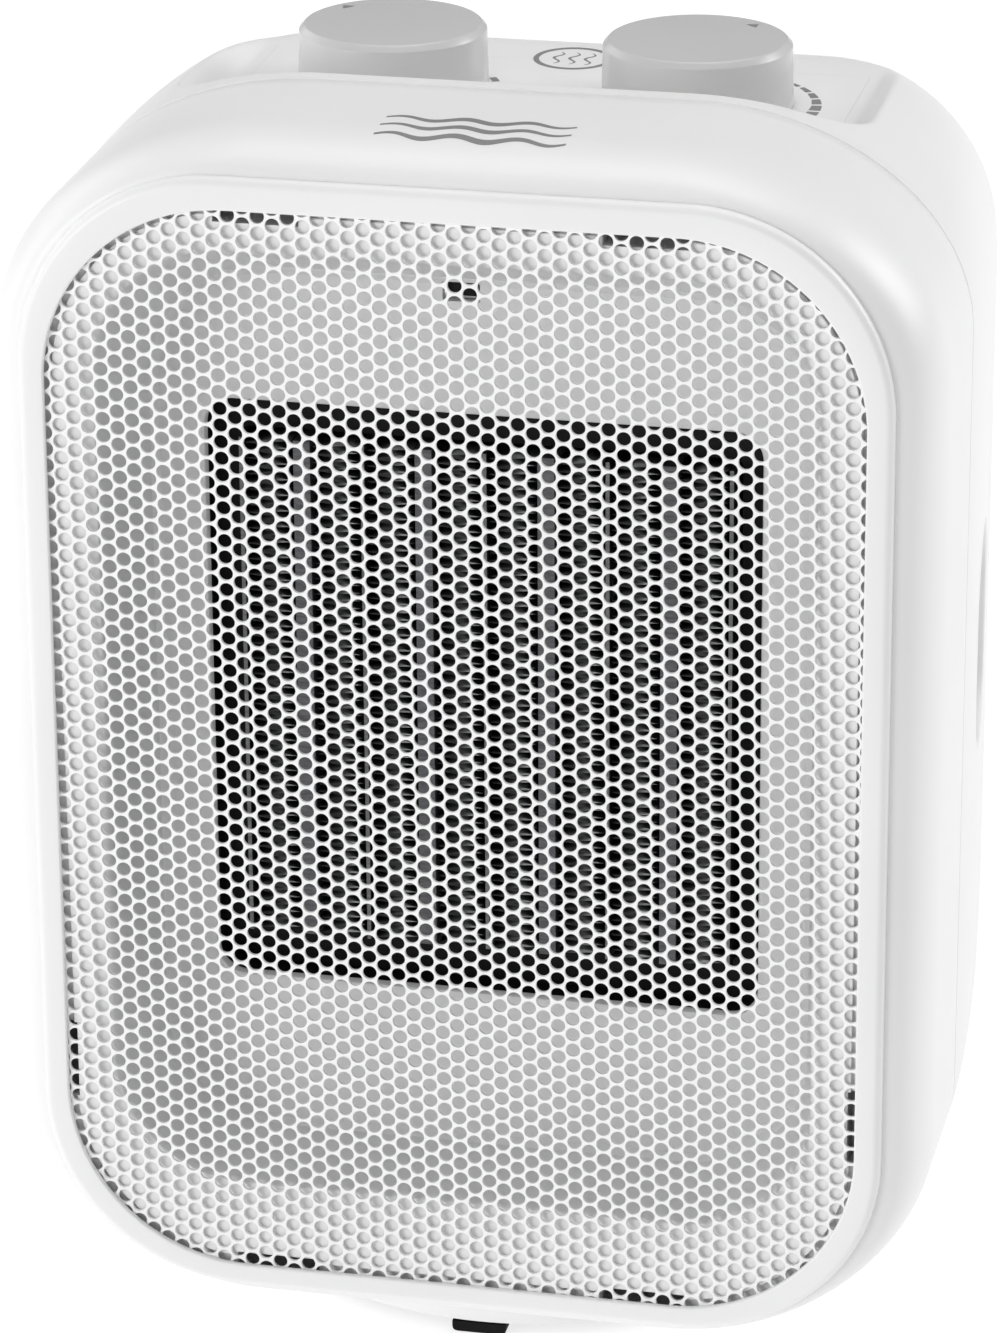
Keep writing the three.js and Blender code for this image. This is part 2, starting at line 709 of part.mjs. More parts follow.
// Foot 1 is at the front, and the others follow at quarter turns.
function makeFoot(index) {
  const w = FOOT.width / 2;
  const h = FOOT.height;
  const shape = new THREE.Shape();
  shape.moveTo(-w, h);
  shape.lineTo(-w, FOOT.round);
  shape.quadraticCurveTo(-w, 0, -w + FOOT.round, 0);
  shape.lineTo(w - FOOT.round, 0);
  shape.quadraticCurveTo(w, 0, w, FOOT.round);
  shape.lineTo(w, h);
  const front = -BASE.radius + 0.2;
  const foot = alongY(shape, front, front + FOOT.length, 3);
  return foot.rotateZ((index * 2 * Math.PI) / FOOT.count);
}

function makePlunger() {
  const r = PLUNGER.radius;
  const profile = [
    [0, 0],
    [r - 1, 0],
    [r, 1],
    [r, PLUNGER.top],
    [0, PLUNGER.top],
  ];
  return turned(profile, 20);
}

// ---- assembly -----------------------------------------------------------------------------------
add('front_shell', makeFrontShell(), WHITE());
add('rear_housing', makeRearHousing(), WHITE());
add('control_panel', makeControlPanel(), WHITE());
add('rear_grille', makeRearGrille(), WHITE());
add('grille_sheet', makeGrilleSheet(), STEEL());
add('inner_tray', makeInnerTray(), WHITE());
add('limit_sensor', box(-6.2, -0.4, -46.6, -42, 195.8, 198.7), BLACK());
add('heater_frame', makeHeaterFrame(), BLACK());
addElement();
add('thermal_cutoff', rod('z', 7, 22, -38, 179.7, 186, 20), ZINC());
add('fan_duct', makeFanDuct(), BLACK());
add('motor_mount', makeMotorMount(), BLACK());
add('fan_motor', makeFanMotor(), ZINC());
add('fan_impeller', makeFanImpeller(), BLACK());
add('fan_shaft', rod('y', FAN.shaft, 0, OUTLET.z, FAN.front + 3.5, MOTOR.rear - 1.5, 10), ZINC());
for (const side of [-1, 1]) {
  const seat = FAN.ductRear;
  const piece = screw('y', side * 13, OUTLET.z, seat, MOTOR.front + 7, 2.6, 1.3);
  add(`motor_screw_${side < 0 ? 1 : 2}`, piece, ZINC());
}

add('mode_switch', makeSwitchBody(-1, 26, 21), BLACK());
add('thermostat', makeSwitchBody(1, 24, 17), ZINC());
add('mode_shaft', makeControlShaft(-1), GREY());
add('thermostat_shaft', makeControlShaft(1), GREY());
add('mode_knob', makeKnob(-1), GREY());
add('thermostat_knob', makeKnob(1), GREY());

add('cord_gland', makeCordGland(), RUBBER());
add('terminal_block', box(-45, -15, 22, 36, 18.5, 30), WHITE());
let screwNumber = 1;
for (const side of [-1, 1]) {
  for (const z of [PILLAR.low, PILLAR.high]) {
    const piece = screw('y', side * PILLAR.x, z, SCREW.seat, SCREW.tip, SCREW.head, SCREW.shank);
    add(`case_screw_${screwNumber}`, piece, ZINC());
    screwNumber += 1;
  }
}

add('base_shell', makeBaseShell(), WHITE());
add('base_plate', makeBasePlate(), BLACK());
add('retaining_ring', makeRetainingRing(), ZINC());
ringScrewPlaces().forEach(([x, y], i) => {
  add(`retaining_screw_${i + 1}`, screw('z', x, y, RING.top + GAP, BASE.top - 3, 2.4, 1.2), ZINC());
});
for (let i = 0; i < FOOT.count; i += 1) {
  add(`foot_${i + 1}`, makeFoot(i), RUBBER());
}
add('tip_switch', box(-5.5, 5.5, -4.5, 4.5, PLUNGER.guideTop + GAP, PLUNGER.switchTop), BLACK());
add('tip_plunger', makePlunger(), RUBBER());

export default model;
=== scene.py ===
"""A ceramic space heater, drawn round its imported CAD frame. Lengths in the shape code are millimetres."""

import json
import math

import bmesh
import bpy
from mathutils import Matrix, Vector


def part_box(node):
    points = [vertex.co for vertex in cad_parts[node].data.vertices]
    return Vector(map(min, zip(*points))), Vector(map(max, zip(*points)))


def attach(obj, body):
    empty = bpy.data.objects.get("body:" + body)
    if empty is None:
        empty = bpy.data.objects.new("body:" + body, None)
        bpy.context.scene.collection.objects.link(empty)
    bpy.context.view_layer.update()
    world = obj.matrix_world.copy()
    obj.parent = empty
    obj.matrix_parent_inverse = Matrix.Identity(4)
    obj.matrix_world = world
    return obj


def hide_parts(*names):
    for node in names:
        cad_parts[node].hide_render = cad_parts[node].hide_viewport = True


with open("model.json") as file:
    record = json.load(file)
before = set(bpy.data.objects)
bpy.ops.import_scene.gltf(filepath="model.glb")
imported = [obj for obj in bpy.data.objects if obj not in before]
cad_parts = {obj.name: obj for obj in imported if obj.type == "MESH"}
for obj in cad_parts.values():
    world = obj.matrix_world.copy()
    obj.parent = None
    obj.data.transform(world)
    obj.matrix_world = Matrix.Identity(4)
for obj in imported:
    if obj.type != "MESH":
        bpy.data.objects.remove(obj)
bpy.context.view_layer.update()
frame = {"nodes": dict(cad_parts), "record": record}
MM = 0.001


def box_mm(node):
    """The lowest and highest corners of a CAD node, in millimetres."""
    low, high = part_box(node)
    return [c / MM for c in low], [c / MM for c in high]


# ---- driving sizes, read from the frame ----------------------------------------------------
SHELL_LOW, SHELL_HIGH = box_mm("front_shell")
HOUSING_LOW, HOUSING_HIGH = box_mm("rear_housing")
SHEET_LOW, SHEET_HIGH = box_mm("grille_sheet")
TRAY_LOW = box_mm("inner_tray")[0]
PANEL_LOW, PANEL_HIGH = box_mm("control_panel")
KNOB_LOW, KNOB_HIGH = box_mm("mode_knob")
BASE_LOW, BASE_HIGH = box_mm("base_shell")
GRILLE_LOW, GRILLE_HIGH = box_mm("rear_grille")

HALF_WIDTH = SHELL_HIGH[0]
TOP = SHELL_HIGH[2]
BOTTOM = SHELL_LOW[2]
LIP_FRONT = SHELL_LOW[1]
SEAM = HOUSING_LOW[1]
REAR = HOUSING_HIGH[1]
PANEL_TOP = PANEL_HIGH[2]
KNOB_X = -(KNOB_LOW[0] + KNOB_HIGH[0]) / 2
KNOB_Y = (KNOB_LOW[1] + KNOB_HIGH[1]) / 2
KNOB_RADIUS = (KNOB_HIGH[0] - KNOB_LOW[0]) / 2
KNOB_TOP = KNOB_HIGH[2] - 0.05  # the print on top stays within the frame

# ---- casing form ---------------------------------------------------------------------------
LIP = {"half_width": 75.8, "top": 222.5, "bottom": 14.3, "corner": 35.5, "round": 1.5}
OPENING = {"half_width": 71.2, "top": 216.9, "bottom": 18.4, "corner": 32.5}
SHOULDER = {"start": LIP_FRONT + 2.1, "length": 15.2, "side": 6.9, "top": 5.9, "bottom": 4.8}
CORNER = {"x": 50.0, "z": 38.5, "rear": 33.0, "start": -25.75, "length": 66.0}
BACK = {
    "start": -25.75, "side": 9.8, "side_power": 1.3, "top": 29.0, "top_power": 2.54,
    "rise": 12.0, "rise_start": 24.0, "rise_power": 1.6,
    "edge": 12.0, "edge_top": 0.86, "edge_bottom": 0.7,
}
WELL = {"half_width": 58.6, "front": -18.1, "corner": 6.0, "lean": 0.7, "fillet": 1.6, "crest": 1.1}
GRIP = {"y": 11.0, "z": 118.0, "radius": 15.5, "half": 21.5, "depth": 12.0, "lean": 2.4, "fillet": 3.0}
GRIP_SIDES = 64
WALL = 2.0
SEAM_GAP = 0.25
SEAM_BEVEL = 0.25
INNER_RINGS = (-40, -50, -58)  # y of the rings along the inside of the front shell
SHAFT_HOLE = 4.0
SWIVEL_HOLE = 15.0
GLAND_HOLE = 6.0
SCREW_WELL = {"bore": 3.6, "outer": 4.8, "inner_end": 57.0, "seat_gap": 0.6}
PRINT_LIFT = (0.01, 0.05)  # the bottom and the top of a printed mark, above the face under it

# ---- punched sheet -------------------------------------------------------------------------
SHEET_MARGIN = 1.6  # how far the sheet goes past the opening
HOLE_RADIUS = 1.25
HOLE_PITCH = 3.0
HOLE_SIDES = 18
HOLE_ORIGIN = (4.55, 132.5)
HOLE_SKEW = math.radians(0.79)


# ---- small helpers -------------------------------------------------------------------------
def clamp01(t):
    return min(1.0, max(0.0, t))


def mix(a, b, t):
    return a + (b - a) * t


def arc_inset(t):
    """0 at t = 0, rising to 1 at t = 1 along a quarter circle."""
    return 1 - math.sqrt(max(0.0, 1 - t * t))


def soft_min(a, b, radius):
    """The smaller of a and b, with their meeting rounded over radius."""
    h = clamp01(0.5 + 0.5 * (b - a) / radius)
    return mix(b, a, h) - radius * h * (1 - h)


def spaced(start, end, step):
    """Evenly spaced values from start up to, not including, end."""
    count = max(1, round(abs(end - start) / step))
    return [mix(start, end, i / count) for i in range(count)]


def new_object(name, points, faces, body, material, smooth_angle=40):
    """A mesh from millimetre points, shaded smooth below smooth_angle, riding on a CAD body."""
    mesh = bpy.data.meshes.new(name)
    mesh.from_pydata([[c * MM for c in p] for p in points], [], faces)
    return finish_object(name, mesh, body, material, smooth_angle)


def finish_object(name, mesh, body, material, smooth_angle=40):
    bm = bmesh.new()
    bm.from_mesh(mesh)
    bmesh.ops.remove_doubles(bm, verts=bm.verts, dist=1e-6)
    bmesh.ops.recalc_face_normals(bm, faces=bm.faces)
    bm.to_mesh(mesh)
    bm.free()
    obj = bpy.data.objects.new(name.replace(" ", "_"), mesh)
    bpy.context.scene.collection.objects.link(obj)
    mesh.materials.append(material)
    shade(obj, smooth_angle)
    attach(obj, body)
    return obj


def shade(obj, smooth_angle):
    mesh = obj.data
    for polygon in mesh.polygons:
        polygon.use_smooth = True
    mesh.set_sharp_from_angle(angle=math.radians(smooth_angle))


def skin(rings, closed_ends=(), loop=False):
    """Quads between consecutive rings, with a face across each named end."""
    count = len(rings[0])
    points = [p for ring in rings for p in ring]
    faces = []
    spans = len(rings) if loop else len(rings) - 1
    for r in range(spans):
        a = r * count
        b = ((r + 1) % len(rings)) * count
        for i in range(count):
            j = (i + 1) % count
            faces.append((a + i, b + i, b + j, a + j))
    if "first" in closed_ends:
        faces.append(tuple(range(count)))
    if "last" in closed_ends:
        last = (len(rings) - 1) * count
        faces.append(tuple(range(last, last + count)))
    return points, faces


def turned(profile, centre, segments=96, axis="z"):
    """A closed [radius, height] profile turned about an axis through centre."""
    x0, y0, z0 = centre
    rings = []
    for i in range(segments):
        angle = 2 * math.pi * i / segments
        c = math.cos(angle)
        s = math.sin(angle)
        if axis == "z":
            rings.append([(x0 + r * c, y0 + r * s, z0 + h) for r, h in profile])
        else:
            rings.append([(x0 + r * c, y0 + h, z0 + r * s) for r, h in profile])
    return skin(rings, loop=True)


def cut_away(obj, points, faces):
    """Cuts a closed mesh out of obj for good."""
    mesh = bpy.data.meshes.new("cutter")
    mesh.from_pydata([[c * MM for c in p] for p in points], [], faces)
    bm = bmesh.new()
    bm.from_mesh(mesh)
    bmesh.ops.recalc_face_normals(bm, faces=bm.faces)
    bm.to_mesh(mesh)
    bm.free()
    cutter = bpy.data.objects.new("cutter", mesh)
    bpy.context.scene.collection.objects.link(cutter)
    modifier = obj.modifiers.new("cut", "BOOLEAN")
    modifier.operation = "DIFFERENCE"
    modifier.solver = "EXACT"
    modifier.object = cutter
    apply_modifiers(obj)
    bpy.data.objects.remove(cutter)


def apply_modifiers(obj):
    graph = bpy.context.evaluated_depsgraph_get()
    graph.update()
    evaluated = obj.evaluated_get(graph)
    mesh = bpy.data.meshes.new_from_object(evaluated, preserve_all_data_layers=True, depsgraph=graph)
    old = obj.data
    obj.modifiers.clear()
    obj.data = mesh
    bpy.data.meshes.remove(old)


def cylinder(radius, start, end, segments=48):
    """Points and faces of a closed cylinder between two points along Y or Z."""
    upright = abs(end[2] - start[2]) > abs(end[1] - start[1])
    rings = []
    for x, y, z in (start, end):
        ring = []
        for i in range(segments):
            angle = 2 * math.pi * i / segments
            if upright:
                ring.append((x + radius * math.cos(angle), y + radius * math.sin(angle), z))
            else:
                ring.append((x + radius * math.cos(angle), y, z + radius * math.sin(angle)))
        rings.append(ring)
    return skin(rings, closed_ends=("first", "last"))


def block(low, high):
    """Points and faces of a box."""
    x0, x1, z0, z1 = low[0], high[0], low[2], high[2]
    rings = [[(x0, y, z0), (x1, y, z0), (x1, y, z1), (x0, y, z1)] for y in (low[1], high[1])]
    return skin(rings, closed_ends=("first", "last"))


def round_rect(y, half_width, top, bottom, corner, steps=16):
    """A rounded rectangle in the plane at y."""
    points = []
    centres = [
        (half_width - corner, top - corner),
        (-half_width + corner, top - corner),
        (-half_width + corner, bottom + corner),
        (half_width - corner, bottom + corner),
    ]
    for quarter, (x, z) in enumerate(centres):
        for i in range(steps + 1):
            angle = (quarter + i / steps) * math.pi / 2
            points.append((x + corner * math.cos(angle), y, z + corner * math.sin(angle)))
    return points


# ---- materials -----------------------------------------------------------------------------
def new_material(name, color, roughness, metallic=0.0, specular=0.5):
    material = bpy.data.materials.new(name)
    material.use_nodes = True
    shader = material.node_tree.nodes["Principled BSDF"]
    shader.inputs["Base Color"].default_value = (*color, 1)
    shader.inputs["Roughness"].default_value = roughness
    shader.inputs["Metallic"].default_value = metallic
    shader.inputs["Specular IOR Level"].default_value = specular
    return material, shader


def object_noise(material, scale, detail=2.0, stretch=(1, 1, 1)):
    """A noise texture in object coordinates."""
    nodes = material.node_tree.nodes
    links = material.node_tree.links
    coordinates = nodes.new("ShaderNodeTexCoord")
    mapping = nodes.new("ShaderNodeMapping")
    mapping.inputs["Scale"].default_value = stretch
    noise = nodes.new("ShaderNodeTexNoise")
    noise.inputs["Scale"].default_value = scale
    noise.inputs["Detail"].default_value = detail
    links.new(coordinates.outputs["Object"], mapping.inputs["Vector"])
    links.new(mapping.outputs["Vector"], noise.inputs["Vector"])
    return noise


def vary_color(material, shader, noise, dark, light):
    ramp = material.node_tree.nodes.new("ShaderNodeValToRGB")
    ramp.color_ramp.elements[0].position = 0.3
    ramp.color_ramp.elements[0].color = (*dark, 1)
    ramp.color_ramp.elements[1].position = 0.7
    ramp.color_ramp.elements[1].color = (*light, 1)
    links = material.node_tree.links
    links.new(noise.outputs["Fac"], ramp.inputs["Fac"])
    links.new(ramp.outputs["Color"], shader.inputs["Base Color"])


def vary_roughness(material, shader, noise, low, high):
    spread = material.node_tree.nodes.new("ShaderNodeMapRange")
    spread.inputs["To Min"].default_value = low
    spread.inputs["To Max"].default_value = high
    links = material.node_tree.links
    links.new(noise.outputs["Fac"], spread.inputs["Value"])
    links.new(spread.outputs["Result"], shader.inputs["Roughness"])


def add_bump(material, shader, noise, strength, distance):
    bump = material.node_tree.nodes.new("ShaderNodeBump")
    bump.inputs["Strength"].default_value = strength
    bump.inputs["Distance"].default_value = distance
    links = material.node_tree.links
    links.new(noise.outputs["Fac"], bump.inputs["Height"])
    links.new(bump.outputs["Normal"], shader.inputs["Normal"])


def plastic(name, dark, light, rough_low, rough_high, grain=2500, strength=0.15, specular=0.5):
    """Moulded plastic: a faint tone change, a roughness change and a very fine grain."""
    material, shader = new_material(name, light, rough_low, specular=specular)
    vary_color(material, shader, object_noise(material, 18), dark, light)
    vary_roughness(material, shader, object_noise(material, 60), rough_low, rough_high)
    add_bump(material, shader, object_noise(material, grain), strength, 0.00003)
    return material


def metal(name, dark, light, rough_low, rough_high, stretch=(1, 1, 1)):
    """Bare metal with a drawn or rolled grain."""
    material, shader = new_material(name, light, rough_low, metallic=1.0)
    grain = object_noise(material, 400, stretch=stretch)
    vary_color(material, shader, grain, dark, light)
    vary_roughness(material, shader, object_noise(material, 120), rough_low, rough_high)
    add_bump(material, shader, grain, 0.2, 0.00005)
    return material


def powder_coat(name, dark, light):
    """White powder coat on punched steel, with a faint orange peel."""
    material, shader = new_material(name, light, 0.4)
    vary_color(material, shader, object_noise(material, 30), dark, light)
    vary_roughness(material, shader, object_noise(material, 200), 0.32, 0.45)
    add_bump(material, shader, object_noise(material, 1200), 0.2, 0.00004)
    return material


WHITE = plastic("casing white", (0.83, 0.83, 0.83), (0.86, 0.86, 0.86), 0.34, 0.42)
KNOB_GREY = plastic("knob grey", (0.58, 0.58, 0.58), (0.61, 0.61, 0.61), 0.22, 0.28, strength=0.05)
SHEET_WHITE = powder_coat("sheet white", (0.90, 0.90, 0.90), (0.93, 0.93, 0.93))
TRAY_WHITE = plastic("tray white", (0.77, 0.77, 0.77), (0.81, 0.81, 0.81), 0.4, 0.5)
BLACK = plastic("black plastic", (0.006, 0.006, 0.006), (0.01, 0.01, 0.01), 0.45, 0.6, specular=0.2)
RUBBER = plastic(
    "black rubber", (0.005, 0.005, 0.005), (0.009, 0.009, 0.009), 0.7, 0.85,
    grain=900, strength=0.4, specular=0.15,
)
IVORY = plastic("ivory moulding", (0.62, 0.58, 0.46), (0.68, 0.64, 0.52), 0.4, 0.5)
INK = plastic("grey ink", (0.22, 0.22, 0.22), (0.25, 0.25, 0.25), 0.4, 0.5)
# The fin colour is darkened far below bare aluminium: painted shade for the dark depths of the fin packs.
FIN_ALUMINIUM_WITH_PAINTED_SHADE = metal("fin aluminium with painted shade", (0.15, 0.153, 0.156), (0.23, 0.234, 0.238), 0.3, 0.45, stretch=(1, 1, 6))
PTC_CASE = metal("strip case", (0.12, 0.12, 0.13), (0.2, 0.2, 0.21), 0.45, 0.6, stretch=(1, 1, 6))
ZINC = metal("zinc steel", (0.45, 0.46, 0.47), (0.6, 0.6, 0.6), 0.3, 0.45)


# ---- casing sections -----------------------------------------------------------------------
def casing_section(y):
    """Half width, top, bottom and corner radii of the casing's outer form at y."""
    shoulder = arc_inset(1 - clamp01((y - SHOULDER["start"]) / SHOULDER["length"]))
    back = clamp01((y - BACK["start"]) / (REAR - BACK["start"]))
    under = clamp01((y - BACK["rise_start"]) / (REAR - BACK["rise_start"]))
    edge = BACK["edge"] * arc_inset(clamp01((y - REAR + BACK["edge"]) / BACK["edge"]))
    tighten = clamp01((y - CORNER["start"]) / CORNER["length"])
    rx = mix(mix(CORNER["x"], LIP["corner"], shoulder), CORNER["rear"], tighten) - edge
    rz = mix(mix(CORNER["z"], LIP["corner"], shoulder), CORNER["rear"], tighten) - edge
    taper = BACK["side"] * back ** BACK["side_power"]
    lower = BACK["top"] * back ** BACK["top_power"]
    rise = BACK["rise"] * under ** BACK["rise_power"]
    return {
        "half_width": HALF_WIDTH - SHOULDER["side"] * shoulder - taper - edge,
        "top": TOP - SHOULDER["top"] * shoulder - lower - edge * BACK["edge_top"],
        "bottom": BOTTOM + SHOULDER["bottom"] * shoulder + rise + edge * BACK["edge_bottom"],
        "rx": max(6.0, rx),
        "rz": max(6.0, rz),
    }


def flat_section(values, inset=0.0):
    """A circular-cornered section, such as the lip's or the opening's, drawn in by inset."""
    return {
        "half_width": values["half_width"] - inset,
        "top": values["top"] - inset,
        "bottom": values["bottom"] + inset,
        "rx": values["corner"] - inset,
        "rz": values["corner"] - inset,
    }


# Spacing of the points round a section: the side is fine between the SIDE_FINE heights.
TOP_REACH = 64.0
TOP_LINES = [*spaced(0, 55, 2.5), *spaced(55, TOP_REACH, 0.45), TOP_REACH]
CORNER_STEPS = 26
SIDE_LINES = 72
SIDE_FINE = (84.0, 148.0)


def half_ring(section):
    """Points (x, z) down the right half of a section, from the top centre to the bottom centre."""
    hw, top, bottom, rx, rz = (section[k] for k in ("half_width", "top", "bottom", "rx", "rz"))
    reach = min(TOP_REACH, hw - 0.13 * rx)
    points = []
    for line in TOP_LINES:
        x = line * reach / TOP_REACH
        over = max(0.0, x - (hw - rx)) / rx
        points.append((x, top - rz * arc_inset(over)))
    start = math.acos(clamp01((reach - hw + rx) / rx)) if reach > hw - rx else math.pi / 2
    for i in range(1, CORNER_STEPS + 1):
        angle = start * (1 - i / CORNER_STEPS)
        points.append((hw - rx + rx * math.cos(angle), top - rz + rz * math.sin(angle)))
    upper = top - rz
    lower = bottom + rz
    high = min(SIDE_FINE[1], upper - 2)
    low = max(SIDE_FINE[0], lower + 2)
    levels = [mix(upper, high, i / 6) for i in range(1, 6)]
    levels += [mix(high, low, i / SIDE_LINES) for i in range(SIDE_LINES + 1)]
    levels += [mix(low, lower, i / 6) for i in range(1, 6)]
    points += [(hw, z) for z in levels]
    for i in range(CORNER_STEPS + 1):
        angle = -math.pi / 2 * i / CORNER_STEPS
        points.append((hw - rx + rx * math.cos(angle), bottom + rz + rz * math.sin(angle)))
    inner = hw - rx
    points += [(inner * (1 - i / 12), bottom) for i in range(1, 13)]
    return points


def full_ring(y, section):
    """The whole section as a closed ring of points, mirrored about X = 0."""
    right = half_ring(section)
    left = [(-x, z) for x, z in reversed(right[1:-1])]
    return [(x, y, z) for x, z in right + left]


# ---- front shell ---------------------------------------------------------------------------
def front_shell_rings():
    front = LIP_FRONT
    back = SHEET_LOW[1] - 0.1
    rings = [full_ring(back, flat_section(OPENING, -1.2)), full_ring(back, flat_section(OPENING))]
    edge = 0.4
    for i in range(7):
        angle = math.pi / 2 * i / 6
        y = front + edge * (1 - math.sin(angle))
        rings.append(full_ring(y, flat_section(OPENING, -edge * (1 - math.cos(angle)))))
    outer = LIP["round"]
    for i in range(9):
        angle = math.pi / 2 * i / 8
        inset = outer * (1 - math.sin(angle))
        rings.append(full_ring(front + outer * (1 - math.cos(angle)), flat_section(LIP, inset)))
    valley = SHOULDER["start"]
    rings.append(full_ring(valley - 0.3, flat_section(LIP)))
    for i in range(29):
        y = valley + SHOULDER["length"] * (i / 28) ** 2.0
        rings.append(full_ring(y, casing_section(y)))
    rear = SEAM - SEAM_GAP
    for y in spaced(valley + SHOULDER["length"], rear - 0.3, 3)[1:]:
        rings.append(full_ring(y, casing_section(y)))
    rings.append(full_ring(rear - SEAM_BEVEL, casing_section(rear)))
    rings.append(full_ring(rear, inset_section(casing_section(rear), SEAM_BEVEL)))
    rings.append(full_ring(rear, inset_section(casing_section(rear), WALL)))
    for y in INNER_RINGS:
        rings.append(full_ring(y, inset_section(casing_section(y), WALL)))
    rings.append(full_ring(-66, inset_section(casing_section(-62), WALL + 1)))
    return rings


def inset_section(section, inset):
    return {
        "half_width": section["half_width"] - inset,
        "top": section["top"] - inset,
        "bottom": section["bottom"] + inset,
        "rx": max(4.0, section["rx"] - inset),
        "rz": max(4.0, section["rz"] - inset),
    }


def make_front_shell():
    points, faces = skin(front_shell_rings(), loop=True)
    shell = new_object("front shell", points, faces, "heater", WHITE, 60)
    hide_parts("front_shell")


# ---- rear housing with the control well and the finger grips ---------------------------------
def well_height(x, y):
    """Height of the control well's surface: flat, with leaning walls that rise round it."""
    corner = WELL["corner"]
    dx = abs(x) - (WELL["half_width"] - corner)
    dy = (WELL["front"] + corner) - y
    outside = math.hypot(max(dx, 0), max(dy, 0)) + min(max(dx, dy), 0) - corner
    rise = outside / WELL["lean"]
    fillet = WELL["fillet"]
    return PANEL_TOP - soft_min(0.0, -rise, fillet * 2)


def grip_ring(side, inset, depth):
    """An upright stadium round a finger grip, drawn in by inset and sunk to depth below the side."""
    reach = GRIP["half"] - GRIP["radius"]
    radius = GRIP["radius"] - inset
    ring = []
    for i in range(GRIP_SIDES):
        angle = math.tau * (i + 0.5) / GRIP_SIDES
        y = GRIP["y"] + radius * math.cos(angle)
        z = GRIP["z"] + radius * math.sin(angle) + math.copysign(reach, math.sin(angle))
        ring.append((side * (casing_section(y)["half_width"] - depth), y, z))
    return ring


def make_finger_grip(name, side):
    """A cup let into the side, open outwards, with a leaning wall and a filleted floor."""
    deep, lean, fillet = GRIP["depth"], GRIP["lean"], GRIP["fillet"]
    profile = [(2.0, deep + 1.6), (0.6, deep + 1.2), (0.15, deep), (0.15, 0.15), (0.25, 0.0)]
    profile += [(0.5, 0.05), (0.8, 0.35), (1.2, 1.5), (lean, deep - fillet)]
    for i in range(1, 7):
        angle = math.pi / 2 * i / 6
        profile.append((lean + fillet * (1 - math.cos(angle)), deep - fillet + fillet * math.sin(angle)))
    profile += [(inset, deep) for inset in (5.8, 8.5, 11.5, 14.5)]
    rings = [grip_ring(side, inset, depth) for inset, depth in profile]
    points, faces = skin(rings, closed_ends=("first", "last"))
    grip = new_object(name, points, faces, "heater", WHITE, 40)
    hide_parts("rear_housing")


def housing_point(point):
    x, y, z = point
    if z > 200 and y < 60:
        z = soft_min(z, well_height(x, y), WELL["crest"] * 2)
    return (x, y, z)


PANEL_EDGE = {"half_width": 55.0, "front": -15.5, "rear": 28.0, "gap": 0.04}


def in_panel(corners):
    """True for a face of the well's floor that the control panel takes the place of."""
    if len(corners) > 4 or min(p[2] for p in corners) < PANEL_TOP - 3:
        return False
    x = sum(p[0] for p in corners) / 4
    y = sum(p[1] for p in corners) / 4
    return abs(x) < PANEL_EDGE["half_width"] and PANEL_EDGE["front"] < y < PANEL_EDGE["rear"]


def housing_lines():
    """The y of each ring: fine over the well's front wall."""
    return [
        SEAM, SEAM + SEAM_BEVEL, -30, -29,
        *spaced(-28, PANEL_EDGE["front"], 0.5),
        *spaced(PANEL_EDGE["front"], PANEL_EDGE["rear"], 1.3),
        *spaced(PANEL_EDGE["rear"], 46, 0.6),
        *spaced(46, REAR - BACK["edge"], 1.2),
        *[REAR - BACK["edge"] * (1 - math.sin(math.pi / 2 * i / 16)) for i in range(17)],
    ]


def make_rear_housing():
    rings = []
    for y in housing_lines():
        section = casing_section(y)
        if y == SEAM:
            section = inset_section(section, SEAM_BEVEL)
        rings.append([housing_point(p) for p in full_ring(y, section)])
    points, faces = skin(rings, closed_ends=("last",))
    faces = [face for face in faces if not in_panel([points[i] for i in face])]
    housing = new_object("rear housing", points, faces, "heater", WHITE, 50)
    thick = housing.modifiers.new("wall", "SOLIDIFY")
    thick.thickness = WALL * MM
    thick.offset = -1
    apply_modifiers(housing)
    for part in housing_cuts():
        cut_away(housing, *part)
    shade(housing, 38)
    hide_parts("rear_housing")


def housing_cuts():
    """Cutters for the intake, the cord gland, the screws, the swivel, the shafts and the grips."""
    low, high = GRILLE_LOW, GRILLE_HIGH
    clearance = 0.35
    intake = [
        round_rect(y, high[0] + clearance, high[2] + clearance, low[2] - clearance, 8)
        for y in (REAR - 6, REAR + 4)
    ]
    parts = [skin(intake, closed_ends=("first", "last"))]
    gland_low, gland_high = box_mm("cord_gland")
    gx = (gland_low[0] + gland_high[0]) / 2
    gz = (gland_low[2] + gland_high[2]) / 2
    parts.append(cylinder(GLAND_HOLE, (gx, REAR - 10, gz), (gx, REAR + 4, gz)))
    for i in range(1, 5):
        screw_low, screw_high = box_mm(f"case_screw_{i}")
        sx = (screw_low[0] + screw_high[0]) / 2
        sz = (screw_low[2] + screw_high[2]) / 2
        parts.append(cylinder(SCREW_WELL["bore"], (sx, 10, sz), (sx, REAR + 4, sz), 32))
    parts.append(cylinder(SWIVEL_HOLE, (0, 0, 0), (0, 0, 20), 64))
    for side in (-1, 1):
        x = side * KNOB_X
        parts.append(cylinder(SHAFT_HOLE, (x, KNOB_Y, 205), (x, KNOB_Y, 225)))
        parts.append(skin([grip_ring(side, 0, -4), grip_ring(side, 0, 8)], closed_ends=("first", "last")))
    return parts


